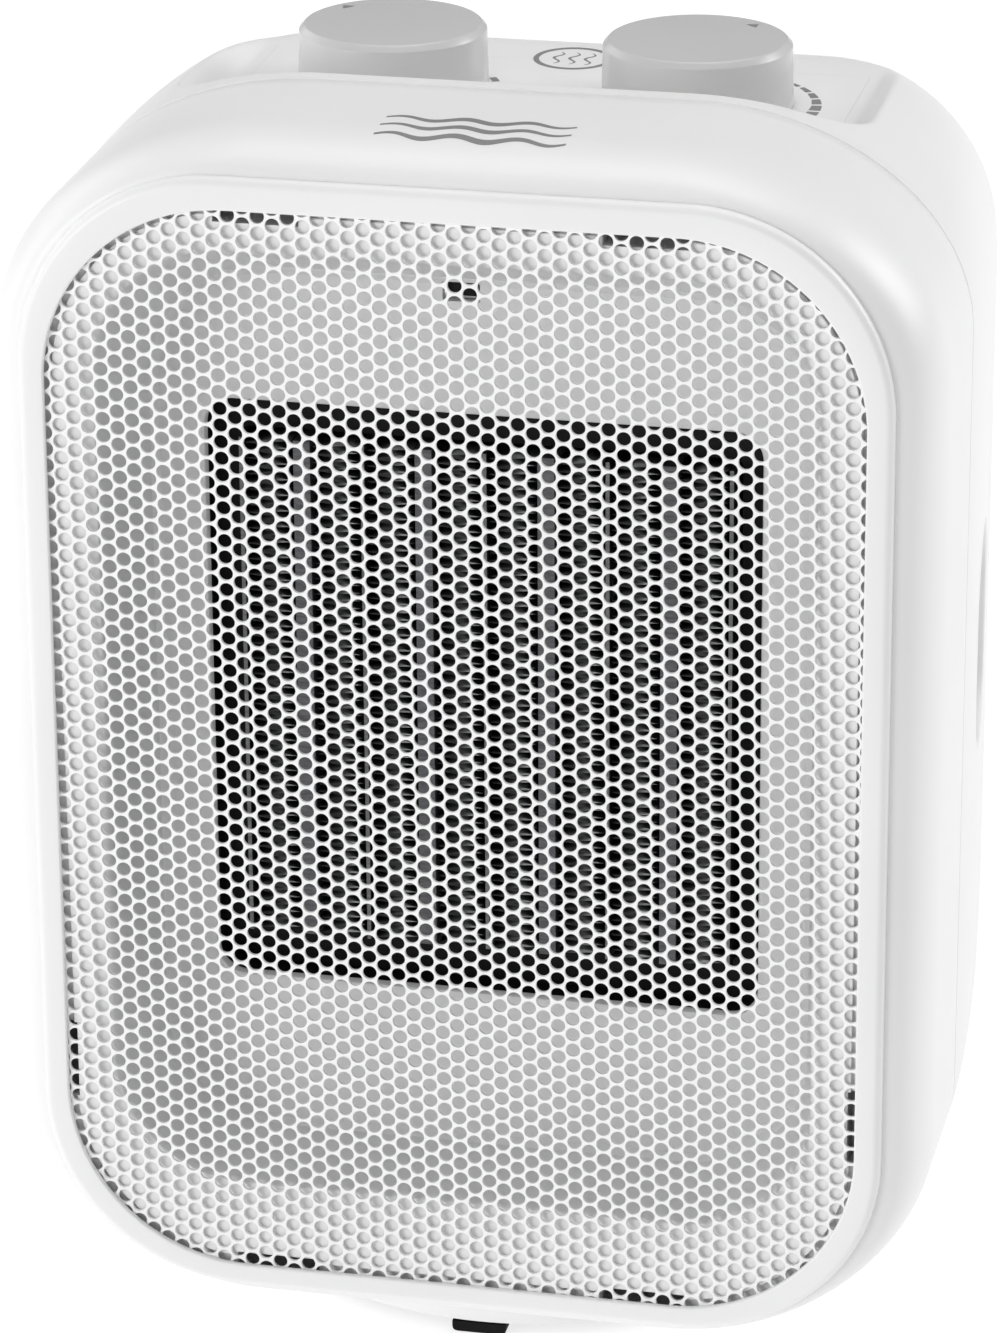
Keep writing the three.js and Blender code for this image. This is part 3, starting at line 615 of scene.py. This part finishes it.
# ---- outlines --------------------------------------------------------------------------------
def rounded(corners, steps=6):
    """A closed outline from (u, v, radius) corners, each rounded by an arc of its radius."""
    outline = []
    count = len(corners)
    for i, (u, v, radius) in enumerate(corners):
        if radius <= 0:
            outline.append((u, v))
            continue
        here = Vector((u, v))
        before = (Vector(corners[i - 1][:2]) - here).normalized()
        after = (Vector(corners[(i + 1) % count][:2]) - here).normalized()
        half = before.angle(after) / 2
        reach = radius / math.tan(half)
        centre = here + (before + after).normalized() * radius / math.sin(half)
        start = here + before * reach - centre
        turn = start.angle_signed(here + after * reach - centre)
        for k in range(steps + 1):
            arm = Matrix.Rotation(-turn * k / steps, 2) @ start
            outline.append(tuple(centre + arm))
    return outline


def prism(outline, low, high, place):
    """A closed prism: place(u, v, w) turns outline points at low and high into space."""
    rings = [[place(u, v, w) for u, v in outline] for w in (low, high)]
    return skin(rings, closed_ends=("first", "last"))


def pierced_plate(outer, holes, depth, bevel):
    """Points and faces of a flat plate with holes and softened edges, drawn in (u, v), centred on w = 0."""
    curve = bpy.data.curves.new("plate", "CURVE")
    curve.dimensions = "2D"
    curve.fill_mode = "BOTH"
    curve.extrude = depth / 2 - bevel
    curve.bevel_depth = bevel
    curve.bevel_resolution = 2
    curve.offset = -bevel
    for outline in [outer, *holes]:
        spline = curve.splines.new("POLY")
        spline.points.add(len(outline) - 1)
        for point, (u, v) in zip(spline.points, outline):
            point.co = (u, v, 0, 1)
        spline.use_cyclic_u = True
    holder = bpy.data.objects.new("plate", curve)
    mesh = bpy.data.meshes.new_from_object(holder)
    points = [tuple(v.co) for v in mesh.vertices]
    faces = [tuple(f.vertices) for f in mesh.polygons]
    bpy.data.objects.remove(holder)
    bpy.data.curves.remove(curve)
    bpy.data.meshes.remove(mesh)
    return points, faces


# ---- control panel, dial marks and emblem ------------------------------------------------------
def make_control_panel():
    gap = PANEL_EDGE["gap"]
    half = PANEL_EDGE["half_width"] - gap
    front = PANEL_EDGE["front"] + gap
    rear = PANEL_EDGE["rear"] - gap
    outline = [(-half, front), (half, front), (half, rear), (-half, rear)]
    points, faces = prism(outline, PANEL_LOW[2], PANEL_TOP, lambda u, v, w: (u, v, w))
    panel = new_object("control panel", points, faces, "heater", WHITE)
    for side in (-1, 1):
        x = side * KNOB_X
        cut_away(panel, *cylinder(SHAFT_HOLE, (x, KNOB_Y, 205), (x, KNOB_Y, 225)))
    shade(panel, 30)
    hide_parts("control_panel")


def sector(centre, inner, outer, start, end, steps=6):
    """An arc-shaped outline between two radii, whose inner radius may change from start to end."""
    first, last = inner
    arc = []
    for i in range(steps + 1):
        angle = math.radians(mix(start, end, i / steps))
        arc.append((centre[0] + outer * math.cos(angle), centre[1] + outer * math.sin(angle)))
    for i in range(steps, -1, -1):
        angle = math.radians(mix(start, end, i / steps))
        radius = mix(first, last, i / steps)
        arc.append((centre[0] + radius * math.cos(angle), centre[1] + radius * math.sin(angle)))
    return arc


def mark(name, outline, height, body="heater"):
    """A printed mark: a very thin plate on a level face at height."""
    low, high = (height + lift for lift in PRINT_LIFT)
    points, faces = prism(outline, low, high, lambda u, v, w: (u, v, w))
    return new_object(name, points, faces, body, INK)


def triangle(centre, radius, angle, size):
    """A small triangle at radius and angle from centre, which points outwards."""
    turn = math.radians(angle)
    out = Vector((math.cos(turn), math.sin(turn)))
    side = Vector((-out.y, out.x))
    middle = Vector(centre) + out * radius
    tip = middle + out * size
    return [tuple(tip), tuple(middle + side * size * 0.75), tuple(middle - side * size * 0.75)]


DIAL = {"outer": 22.0, "start": 62.0, "end": -34.0, "blocks": 9, "gap": 2.6, "thin": 0.35, "thick": 3.0}
MODE_MARKS = {"angles": (27, 90, 153, -20), "inner": 18.0, "outer": 19.3, "half": 4}


def make_dial_marks():
    """Blocks that grow round the thermostat knob, and four short marks round the mode knob."""
    right = (KNOB_X, KNOB_Y)
    left = (-KNOB_X, KNOB_Y)
    pitch = (DIAL["start"] - DIAL["end"]) / DIAL["blocks"]
    for i in range(DIAL["blocks"]):
        start = DIAL["start"] - i * pitch
        end = start - pitch + DIAL["gap"]
        growth = DIAL["thick"] - DIAL["thin"]
        depth = [DIAL["thin"] + growth * (i + k) / DIAL["blocks"] for k in (0, 1)]
        inner = [DIAL["outer"] - d for d in depth]
        mark(f"dial block {i + 1}", sector(right, inner, DIAL["outer"], start, end), PANEL_TOP)
    inner, half = MODE_MARKS["inner"], MODE_MARKS["half"]
    for i, angle in enumerate(MODE_MARKS["angles"]):
        outline = sector(left, (inner, inner), MODE_MARKS["outer"], angle - half, angle + half)
        mark(f"mode mark {i + 1}", outline, PANEL_TOP)


SYMBOL = {
    "centre": (0.0, 29.5), "radius": 7.3, "stroke": 1.0, "sides": 64,
    "pitch": 2.9, "length": 7.5, "width": 0.55, "swing": 0.7,
}


def make_panel_symbol():
    """A plain ring round three upright waves, between and behind the knobs."""
    cx, cy = SYMBOL["centre"]
    count = SYMBOL["sides"]
    points, faces = [], []
    for radius in (SYMBOL["radius"], SYMBOL["radius"] - SYMBOL["stroke"]):
        for lift in PRINT_LIFT:
            for i in range(count):
                angle = 2 * math.pi * i / count
                x = cx + radius * math.cos(angle)
                y = cy + radius * math.sin(angle)
                points.append((x, y, PANEL_TOP + lift))
    for a, b in ((0, 1), (1, 3), (3, 2), (2, 0)):
        for i in range(count):
            j = (i + 1) % count
            faces.append((a * count + i, a * count + j, b * count + j, b * count + i))
    new_object("panel symbol ring", points, faces, "heater", INK)
    for k in (-1, 0, 1):
        centre = (cx + SYMBOL["pitch"] * k, cy)
        outline = wave(centre, SYMBOL["length"], SYMBOL["width"], SYMBOL["swing"], upright=True)
        mark(f"panel symbol wave {k + 2}", outline, PANEL_TOP)


def wave(centre, length, width, swing, upright=False, turns=1.5, steps=24):
    """The outline of a wavy stroke, with its ends tapered."""
    near, far = [], []
    for i in range(steps + 1):
        t = i / steps
        along = (t - 0.5) * length
        off = swing * math.sin(2 * math.pi * turns * t)
        half = width / 2 * (0.35 + 0.65 * math.sin(math.pi * t))
        for side, points in ((-1, near), (1, far)):
            u, v = along, off + side * half
            points.append((centre[0] + v, centre[1] + u) if upright else (centre[0] + u, centre[1] + v))
    return near + far[::-1]


def casing_top(x, y):
    """Height of the casing's outer form above (x, y)."""
    section = casing_section(y)
    over = max(0.0, abs(x) - (section["half_width"] - section["rx"])) / section["rx"]
    return section["top"] - section["rz"] * arc_inset(over)


EMBLEM = {"x": 1.1, "y": -56.0, "length": 33.0, "pitch": 4.6, "width": 2.0, "swing": 1.0}


def make_emblem():
    """Three long waves, a plain sign for heat, on the front slope of the casing's top."""
    for k in (-1, 0, 1):
        centre = (EMBLEM["x"], EMBLEM["y"] + k * EMBLEM["pitch"])
        outline = wave(centre, EMBLEM["length"], EMBLEM["width"], EMBLEM["swing"], turns=3.0, steps=72)
        count = len(outline)
        half = count // 2
        points = []
        for lift in PRINT_LIFT:
            points += [(x, y, casing_top(x, y) + lift) for x, y in outline]
        faces = []
        for i in range(half - 1):
            a, b, c, d = i, i + 1, count - 2 - i, count - 1 - i
            faces.append((a, b, c, d))
            faces.append((a + count, d + count, c + count, b + count))
        for i in range(count):
            j = (i + 1) % count
            faces.append((i, i + count, j + count, j))
        new_object(f"emblem wave {k + 2}", points, faces, "heater", INK)


# ---- knobs -------------------------------------------------------------------------------------
POINTER = {"size": 1.7, "mode": (12.8, 142), "thermostat": (12.4, 51)}  # radius and angle of each


def knob_profile():
    r = KNOB_RADIUS
    top = KNOB_TOP
    foot = KNOB_LOW[2]
    corners = [
        (0, top - 2.6, 0),
        (3.2, top - 2.6, 0),
        (3.2, foot + 1, 0),
        (r - 2.0, foot + 1, 0),
        (r - 1.8, foot, 0.1),
        (r, foot, 0.25),
        (r - 0.25, top - 1.1, 0.5),
        (r - 1.3, top, 0.7),
        (0, top, 0),
    ]
    return rounded(corners)


def make_knobs():
    for side, node, body in ((-1, "mode_knob", "mode_dial"), (1, "thermostat_knob", "thermostat_dial")):
        points, faces = turned(knob_profile(), (side * KNOB_X, KNOB_Y, 0), 128)
        knob = new_object(node.replace("_", " "), points, faces, body, KNOB_GREY, 50)
        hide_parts(node)
    left = triangle((-KNOB_X, KNOB_Y), *POINTER["mode"], POINTER["size"])
    right = triangle((KNOB_X, KNOB_Y), *POINTER["thermostat"], POINTER["size"])
    mark("mode pointer", left, KNOB_TOP, body="mode_dial")
    mark("thermostat pointer", right, KNOB_TOP, body="thermostat_dial")


# ---- punched sheet -------------------------------------------------------------------------------
def clamp_to_sheet(x, z):
    """The point moved to the sheet's outline if it lies outside."""
    half = SHEET_HIGH[0]
    low, high = SHEET_LOW[2], SHEET_HIGH[2]
    corner = OPENING["corner"] + SHEET_MARGIN
    middle = (low + high) / 2
    cx = half - corner
    cz = (high - low) / 2 - corner
    dx = max(0.0, abs(x) - cx)
    dz = max(0.0, abs(z - middle) - cz)
    reach = math.hypot(dx, dz)
    if reach <= corner:
        return x, z
    k = corner / reach
    if dx:
        x = math.copysign(cx + dx * k, x)
    if dz:
        z = middle + math.copysign(cz + dz * k, z - middle)
    return x, z


def hole_centres():
    """Centres of the staggered holes, whose rows are slightly turned against the casing."""
    across = HOLE_PITCH * math.sqrt(3) / 2
    c, s = math.cos(HOLE_SKEW), math.sin(HOLE_SKEW)
    limit = SHEET_HIGH[0] + 2
    for column in range(-34, 33):
        for row in range(-50, 50):
            u = column * across
            v = (row + column % 2 / 2) * HOLE_PITCH
            x = HOLE_ORIGIN[0] + u * c - v * s
            z = HOLE_ORIGIN[1] + u * s + v * c
            if abs(x) > limit or not SHEET_LOW[2] - 2 < z < SHEET_HIGH[2] + 2:
                continue
            px, pz = clamp_to_sheet(x, z)
            if math.hypot(px - x, pz - z) < 0.05:
                yield x, z


def make_sheet():
    """Hexagonal cells, each with a round hole that has a softened front edge."""
    front, back = SHEET_LOW[1], SHEET_HIGH[1]
    per_side = HOLE_SIDES // 6
    rim = HOLE_PITCH / math.sqrt(3)
    hexagon = []
    for k in range(HOLE_SIDES):
        side, part = divmod(k, per_side)
        a = HOLE_SKEW + side * math.pi / 3
        b = a + math.pi / 3
        t = part / per_side
        hexagon.append((rim * mix(math.cos(a), math.cos(b), t), rim * mix(math.sin(a), math.sin(b), t)))
    angles = [HOLE_SKEW + 2 * math.pi * k / HOLE_SIDES for k in range(HOLE_SIDES)]
    circle = [(math.cos(a), math.sin(a)) for a in angles]
    layers = [(hexagon, 1.0, front), (circle, HOLE_RADIUS + 0.07, front), (circle, HOLE_RADIUS, front + 0.1)]
    layers += [(circle, HOLE_RADIUS, back), (hexagon, 1.0, back)]
    points, faces = [], []
    for x, z in hole_centres():
        start = len(points)
        for outline, scale, y in layers:
            for u, v in outline:
                px, pz = clamp_to_sheet(x + u * scale, z + v * scale)
                points.append((px, y, pz))
        for layer in range(len(layers) - 1):
            a = start + layer * HOLE_SIDES
            b = a + HOLE_SIDES
            for i in range(HOLE_SIDES):
                j = (i + 1) % HOLE_SIDES
                faces.append((a + i, b + i, b + j, a + j))
    sheet = new_object("punched sheet", points, faces, "heater", SHEET_WHITE, 38)
    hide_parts("grille_sheet")


# ---- funnel tray ---------------------------------------------------------------------------------
TRAY = {"plate": -48.75, "thick": 1.8, "half_width": 58.6, "top": 199.4, "bottom": 36.0, "corner": 22.0}
RECESS = {
    "half_width": 63.5, "top": 209.5, "bottom": 33.5, "corner": 24.0,
    "sag": 0.7, "fillet": 1.2, "ledge": 0.7, "step": 1.6,
}
OUTLET = {"half_width": 49.5, "top": 174.8, "bottom": 65.0, "corner": 5.0}
WINDOW = {"x": (-6.6, 0.0), "z": (195.4, 199.1)}


def tray_ring(y, sizes, grow=0.0):
    """A section of the tray: sizes name its half width, top, bottom and corner."""
    top = sizes["top"] + grow
    bottom = sizes["bottom"] - grow
    return round_rect(y, sizes["half_width"] + grow, top, bottom, sizes["corner"] + grow, 20)


def between(first, second, t):
    return {key: mix(first[key], second[key], t) for key in ("half_width", "top", "bottom", "corner")}


def outlet_ring(y, grow=0.0):
    top = OUTLET["top"] + grow
    bottom = OUTLET["bottom"] - grow
    return round_rect(y, OUTLET["half_width"] + grow, top, bottom, OUTLET["corner"] + grow, 20)


def tray_rings():
    """From the rim over the flange, down the recess to the outlet, and back round the outside."""
    front = TRAY_LOW[1]
    plate = TRAY["plate"]
    back = plate + TRAY["thick"]
    rim = {key: OPENING[key] - 0.9 for key in ("half_width", "top", "corner")}
    rim["bottom"] = OPENING["bottom"] + 0.7
    edge = front + RECESS["sag"]
    fillet = RECESS["fillet"]
    ledge = RECESS["ledge"]
    step = RECESS["step"]
    rings = [tray_ring(front + ledge, rim, step), tray_ring(front + ledge, rim)]
    rings += [tray_ring(front + 0.15, rim), tray_ring(front, rim, -0.15), tray_ring(front, rim, -0.6)]
    for i in range(1, 7):
        t = i / 6
        y = mix(front, edge, t * t)
        rings.append(tray_ring(y, between(rim, RECESS, t), -0.6 * (1 - t) - 0.3 * t * t))
    rings.append(tray_ring(edge + 0.3, RECESS, -0.6))
    for y in spaced(edge + fillet, plate - 1.5, 3):
        t = (y - edge) / (plate - edge)
        rings.append(tray_ring(y, between(RECESS, TRAY, t), -0.8 * (1 - t)))
    for i in range(7):
        t = i / 6
        y = plate - 1.5 * math.cos(math.pi / 2 * t)
        rings.append(tray_ring(y, between(RECESS, TRAY, 1 - 0.075 * (1 - t) ** 1.5), -0.9 * t * t))
    rings += [outlet_ring(plate, 0.8), outlet_ring(plate + 0.25, 0.25), outlet_ring(plate + 0.8)]
    rings += [outlet_ring(back), outlet_ring(back, 4)]
    rings += [tray_ring(back, TRAY, 1.5), tray_ring(front + ledge + 1.5, rim, step)]
    return rings


def make_tray():
    back = TRAY["plate"] + TRAY["thick"]
    points, faces = skin(tray_rings(), loop=True)
    tray = new_object("funnel tray", points, faces, "heater", TRAY_WHITE, 40)
    (x0, x1), (z0, z1) = WINDOW["x"], WINDOW["z"]
    cut_away(tray, *block((x0, TRAY["plate"] - 3, z0), (x1, back + 2, z1)))
    for low, high in clip_notches():
        cut_away(tray, *block(low, high))
    shade(tray, 35)
    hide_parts("inner_tray")


NOTCH = {"x": 33.5, "half": 7.5, "top": 2.5, "bottom": 1.7, "side": 1.5, "side_z": (48.5, 63.0), "past": 2.0}


def clip_notches():
    """Slots in the rim where the sheet's tabs hook in: two above, two below, one low at each side."""
    y0, y1 = TRAY_LOW[1] - 1, TRAY_LOW[1] + 6.0
    high, low, side = OPENING["top"], OPENING["bottom"], OPENING["half_width"]
    half, past, reach = NOTCH["half"], NOTCH["past"], NOTCH["side"]
    z0, z1 = NOTCH["side_z"]
    notches = []
    for x in (-NOTCH["x"], NOTCH["x"]):
        notches.append(((x - half, y0, high - NOTCH["top"]), (x + half, y1, high + past)))
        notches.append(((x - half, y0, low - past), (x + half, y1, low + NOTCH["bottom"])))
    for x0, x1 in ((-side - past, -side + reach), (side - reach, side + past)):
        notches.append(((x0, y0, z0), (x1, y1, z1)))
    return notches


# ---- folded fins -----------------------------------------------------------------------------------
FIN_PITCH = 1.45
FIN_SHEET = 0.12
FIN_PACKS = 8


def make_fins():
    """Folded strips of thin sheet, with a small margin inside each pack's box."""
    for n in range(1, FIN_PACKS + 1):
        low, high = box_mm(f"fin_pack_{n}")
        folds = round((high[2] - low[2] - 0.6) / (FIN_PITCH / 2))
        points, faces = [], []
        for i in range(folds + 1):
            x = high[0] - 0.1 if i % 2 else low[0] + 0.1
            z = mix(low[2] + 0.3, high[2] - 0.3, i / folds)
            points += [(x, low[1], z), (x, high[1], z)]
            if i:
                a = 2 * i
                faces.append((a - 2, a - 1, a + 1, a))
        fins = new_object(f"folded fins {n}", points, faces, "heater", FIN_ALUMINIUM_WITH_PAINTED_SHADE, 10)
        sheet = fins.modifiers.new("sheet", "SOLIDIFY")
        sheet.thickness = FIN_SHEET * MM
        sheet.offset = 0
        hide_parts(f"fin_pack_{n}")


# ---- rear grille, gland and screw wells --------------------------------------------------------------
def slot_outline(u0, u1, v, radius, steps=8):
    outline = []
    for i in range(steps + 1):
        angle = -math.pi / 2 + math.pi * i / steps
        outline.append((u1 - radius + radius * math.cos(angle), v + radius * math.sin(angle)))
    for i in range(steps + 1):
        angle = math.pi / 2 + math.pi * i / steps
        outline.append((u0 + radius + radius * math.cos(angle), v + radius * math.sin(angle)))
    return outline


REAR_SLOTS = {"rows": 17, "edge": 5.0, "middle": 2.0, "half": 1.75}


def make_rear_grille():
    low, high = GRILLE_LOW, GRILLE_HIGH
    middle = (low[2] + high[2]) / 2
    half = (high[2] - low[2]) / 2
    ring = round_rect(0, high[0], half, -half, 7.7)
    outer = [(x, z) for x, _, z in ring]
    pitch = 2 * (half - REAR_SLOTS["edge"]) / REAR_SLOTS["rows"]
    holes = []
    for i in range(REAR_SLOTS["rows"]):
        v = -half + REAR_SLOTS["edge"] + (i + 0.5) * pitch
        far = high[0] - REAR_SLOTS["edge"]
        holes.append(slot_outline(REAR_SLOTS["middle"], far, v, REAR_SLOTS["half"]))
        holes.append(slot_outline(-far, -REAR_SLOTS["middle"], v, REAR_SLOTS["half"]))
    depth = high[1] - low[1]
    points, faces = pierced_plate(outer, holes, depth, 0.35)
    centre = (low[1] + high[1]) / 2
    points = [(u, centre + w, v + middle) for u, v, w in points]
    grille = new_object("rear grille", points, faces, "heater", WHITE, 35)
    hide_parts("rear_grille")


def make_cord_gland():
    low, high = box_mm("cord_gland")
    centre = ((low[0] + high[0]) / 2, 0, (low[2] + high[2]) / 2)
    flange = (high[0] - low[0]) / 2
    corners = [
        (3.6, low[1], 0),
        (5.7, low[1], 0.3),
        (5.7, REAR + 0.3, 0),
        (flange, REAR + 0.3, 0.1),
        (flange - 0.4, high[1], 0.4),
        (3.6, high[1], 0.3),
    ]
    points, faces = turned(rounded(corners), centre, 64, axis="y")
    gland = new_object("cord gland", points, faces, "heater", RUBBER, 40)
    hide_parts("cord_gland")


def make_screw_wells():
    """The tubes that the casing screws go down, inside the housing."""
    for i in range(1, 5):
        low, high = box_mm(f"case_screw_{i}")
        centre = ((low[0] + high[0]) / 2, 0, (low[2] + high[2]) / 2)
        bore, outer, end = SCREW_WELL["bore"], SCREW_WELL["outer"], SCREW_WELL["inner_end"]
        seat = high[1] + SCREW_WELL["seat_gap"]
        profile = [(bore, seat), (outer, seat), (outer, end), (bore, end)]
        points, faces = turned(profile, centre, 32, axis="y")
        new_object(f"screw well {i}", points, faces, "heater", WHITE, 40)


# ---- base --------------------------------------------------------------------------------------------
def make_base_shell():
    r = BASE_HIGH[0]
    top = BASE_HIGH[2]
    deck = top - 2.9
    corners = [
        (10.0, deck - 2.0, 0),
        (r - 2.0, deck - 2.0, 0.8),
        (r - 2.0, BASE_LOW[2], 0.3),
        (r, BASE_LOW[2], 0.4),
        (r, deck, 1.4),
        (14.5, deck, 0.3),
        (14.5, top, 0.3),
        (10.0, top, 0.3),
    ]
    points, faces = turned(rounded(corners), (0, 0, 0), 160)
    base = new_object("base shell", points, faces, "base", WHITE, 40)
    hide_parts("base_shell")


# ---- looks of the CAD nodes that stay --------------------------------------------------------------------
KEPT = {
    "black_plastic": BLACK,
    "ptc_case": PTC_CASE,
    "fin_aluminium": FIN_ALUMINIUM_WITH_PAINTED_SHADE,
    "zinc_steel": ZINC,
    "rubber_black": RUBBER,
    "control_grey": KNOB_GREY,
    "terminal_ivory": IVORY,
    "casing_white": WHITE,
    "tray_white": TRAY_WHITE,
    "grille_white": SHEET_WHITE,
}


def paint_kept_nodes():
    slots = {part["node"]: part["material_slot"] for part in frame["record"]["subparts"]}
    for node, obj in frame["nodes"].items():
        material = KEPT[slots[node]]
        for slot in obj.material_slots:
            slot.material = material


# ---- floor, light and camera ----------------------------------------------------------------------------
FLOOR = {"half": 6.0, "z": -0.0002, "glow": 0.78}  # metres; a hair below the feet
WORLD_STRENGTH = 0.17
LIGHT_AIM = (0, 0, 0.12)
LIGHTS = [  # name, place and side in metres, power in watts
    ("key", (-1.2, -1.5, 0.45), 0.9, 15.6),
    ("front_top", (0.0, -1.0, 1.7), 1.2, 5.2),
    ("overhead", (0.0, 0.4, 1.9), 1.4, 15.6),
    ("left", (-1.85, 0.1, 0.5), 1.0, 4.8),
    ("left_rear", (-1.5, 1.1, 0.9), 1.0, 3.4),
    ("right_rear", (1.5, 0.75, 1.0), 1.0, 17),
]


def make_floor():
    mesh = bpy.data.meshes.new("floor")
    half, z = FLOOR["half"], FLOOR["z"]
    corners = [(-half, -half, z), (half, -half, z), (half, half, z), (-half, half, z)]
    mesh.from_pydata(corners, [], [(0, 1, 2, 3)])
    floor = bpy.data.objects.new("floor", mesh)
    bpy.context.scene.collection.objects.link(floor)
    material, shader = new_material("floor white", (0.3, 0.3, 0.3), 0.9)
    shader.inputs["Emission Color"].default_value = (1, 1, 1, 1)
    shader.inputs["Emission Strength"].default_value = FLOOR["glow"]
    mesh.materials.append(material)


def area_light(name, place, side, power):
    """A square lamp at place that faces the middle of the heater."""
    light = bpy.data.lights.new(name, "AREA")
    light.shape = "RECTANGLE"
    light.size = side
    light.size_y = side
    light.energy = power
    obj = bpy.data.objects.new(name, light)
    obj.location = place
    obj.rotation_euler = (Vector(LIGHT_AIM) - Vector(place)).to_track_quat("-Z", "Y").to_euler()
    bpy.context.scene.collection.objects.link(obj)


def make_lights():
    world = bpy.data.worlds.new("studio")
    bpy.context.scene.world = world
    world.use_nodes = True
    background = world.node_tree.nodes["Background"]
    background.inputs["Color"].default_value = (1, 1, 1, 1)
    background.inputs["Strength"].default_value = WORLD_STRENGTH
    for light in LIGHTS:
        area_light(*light)


CAMERA = {
    "place": (0.21173, -0.97926, 0.50891),
    "azimuth": 12.637, "elevation": 21.747, "roll": -0.365, "lens": 157.87,
}


def make_camera():
    camera = bpy.data.cameras.new("camera")
    camera.lens = CAMERA["lens"]
    camera.sensor_width = 36
    camera.clip_start = 0.05
    camera.clip_end = 30
    obj = bpy.data.objects.new("camera", camera)
    turn = Matrix.Rotation(math.radians(CAMERA["azimuth"]), 4, "Z")
    tilt = Matrix.Rotation(math.radians(90 - CAMERA["elevation"]), 4, "X")
    roll = Matrix.Rotation(math.radians(CAMERA["roll"]), 4, "Z")
    obj.matrix_world = Matrix.Translation(CAMERA["place"]) @ turn @ tilt @ roll
    bpy.context.scene.collection.objects.link(obj)
    bpy.context.scene.camera = obj


def build():
    make_front_shell()
    make_rear_housing()
    make_finger_grip("finger grip left", -1)
    make_finger_grip("finger grip right", 1)
    make_control_panel()
    make_dial_marks()
    make_panel_symbol()
    make_emblem()
    make_knobs()
    make_sheet()
    make_tray()
    make_fins()
    make_rear_grille()
    make_cord_gland()
    make_screw_wells()
    make_base_shell()
    paint_kept_nodes()
    make_floor()
    make_lights()
    make_camera()
    bpy.context.scene.view_settings.view_transform = "Standard"


build()
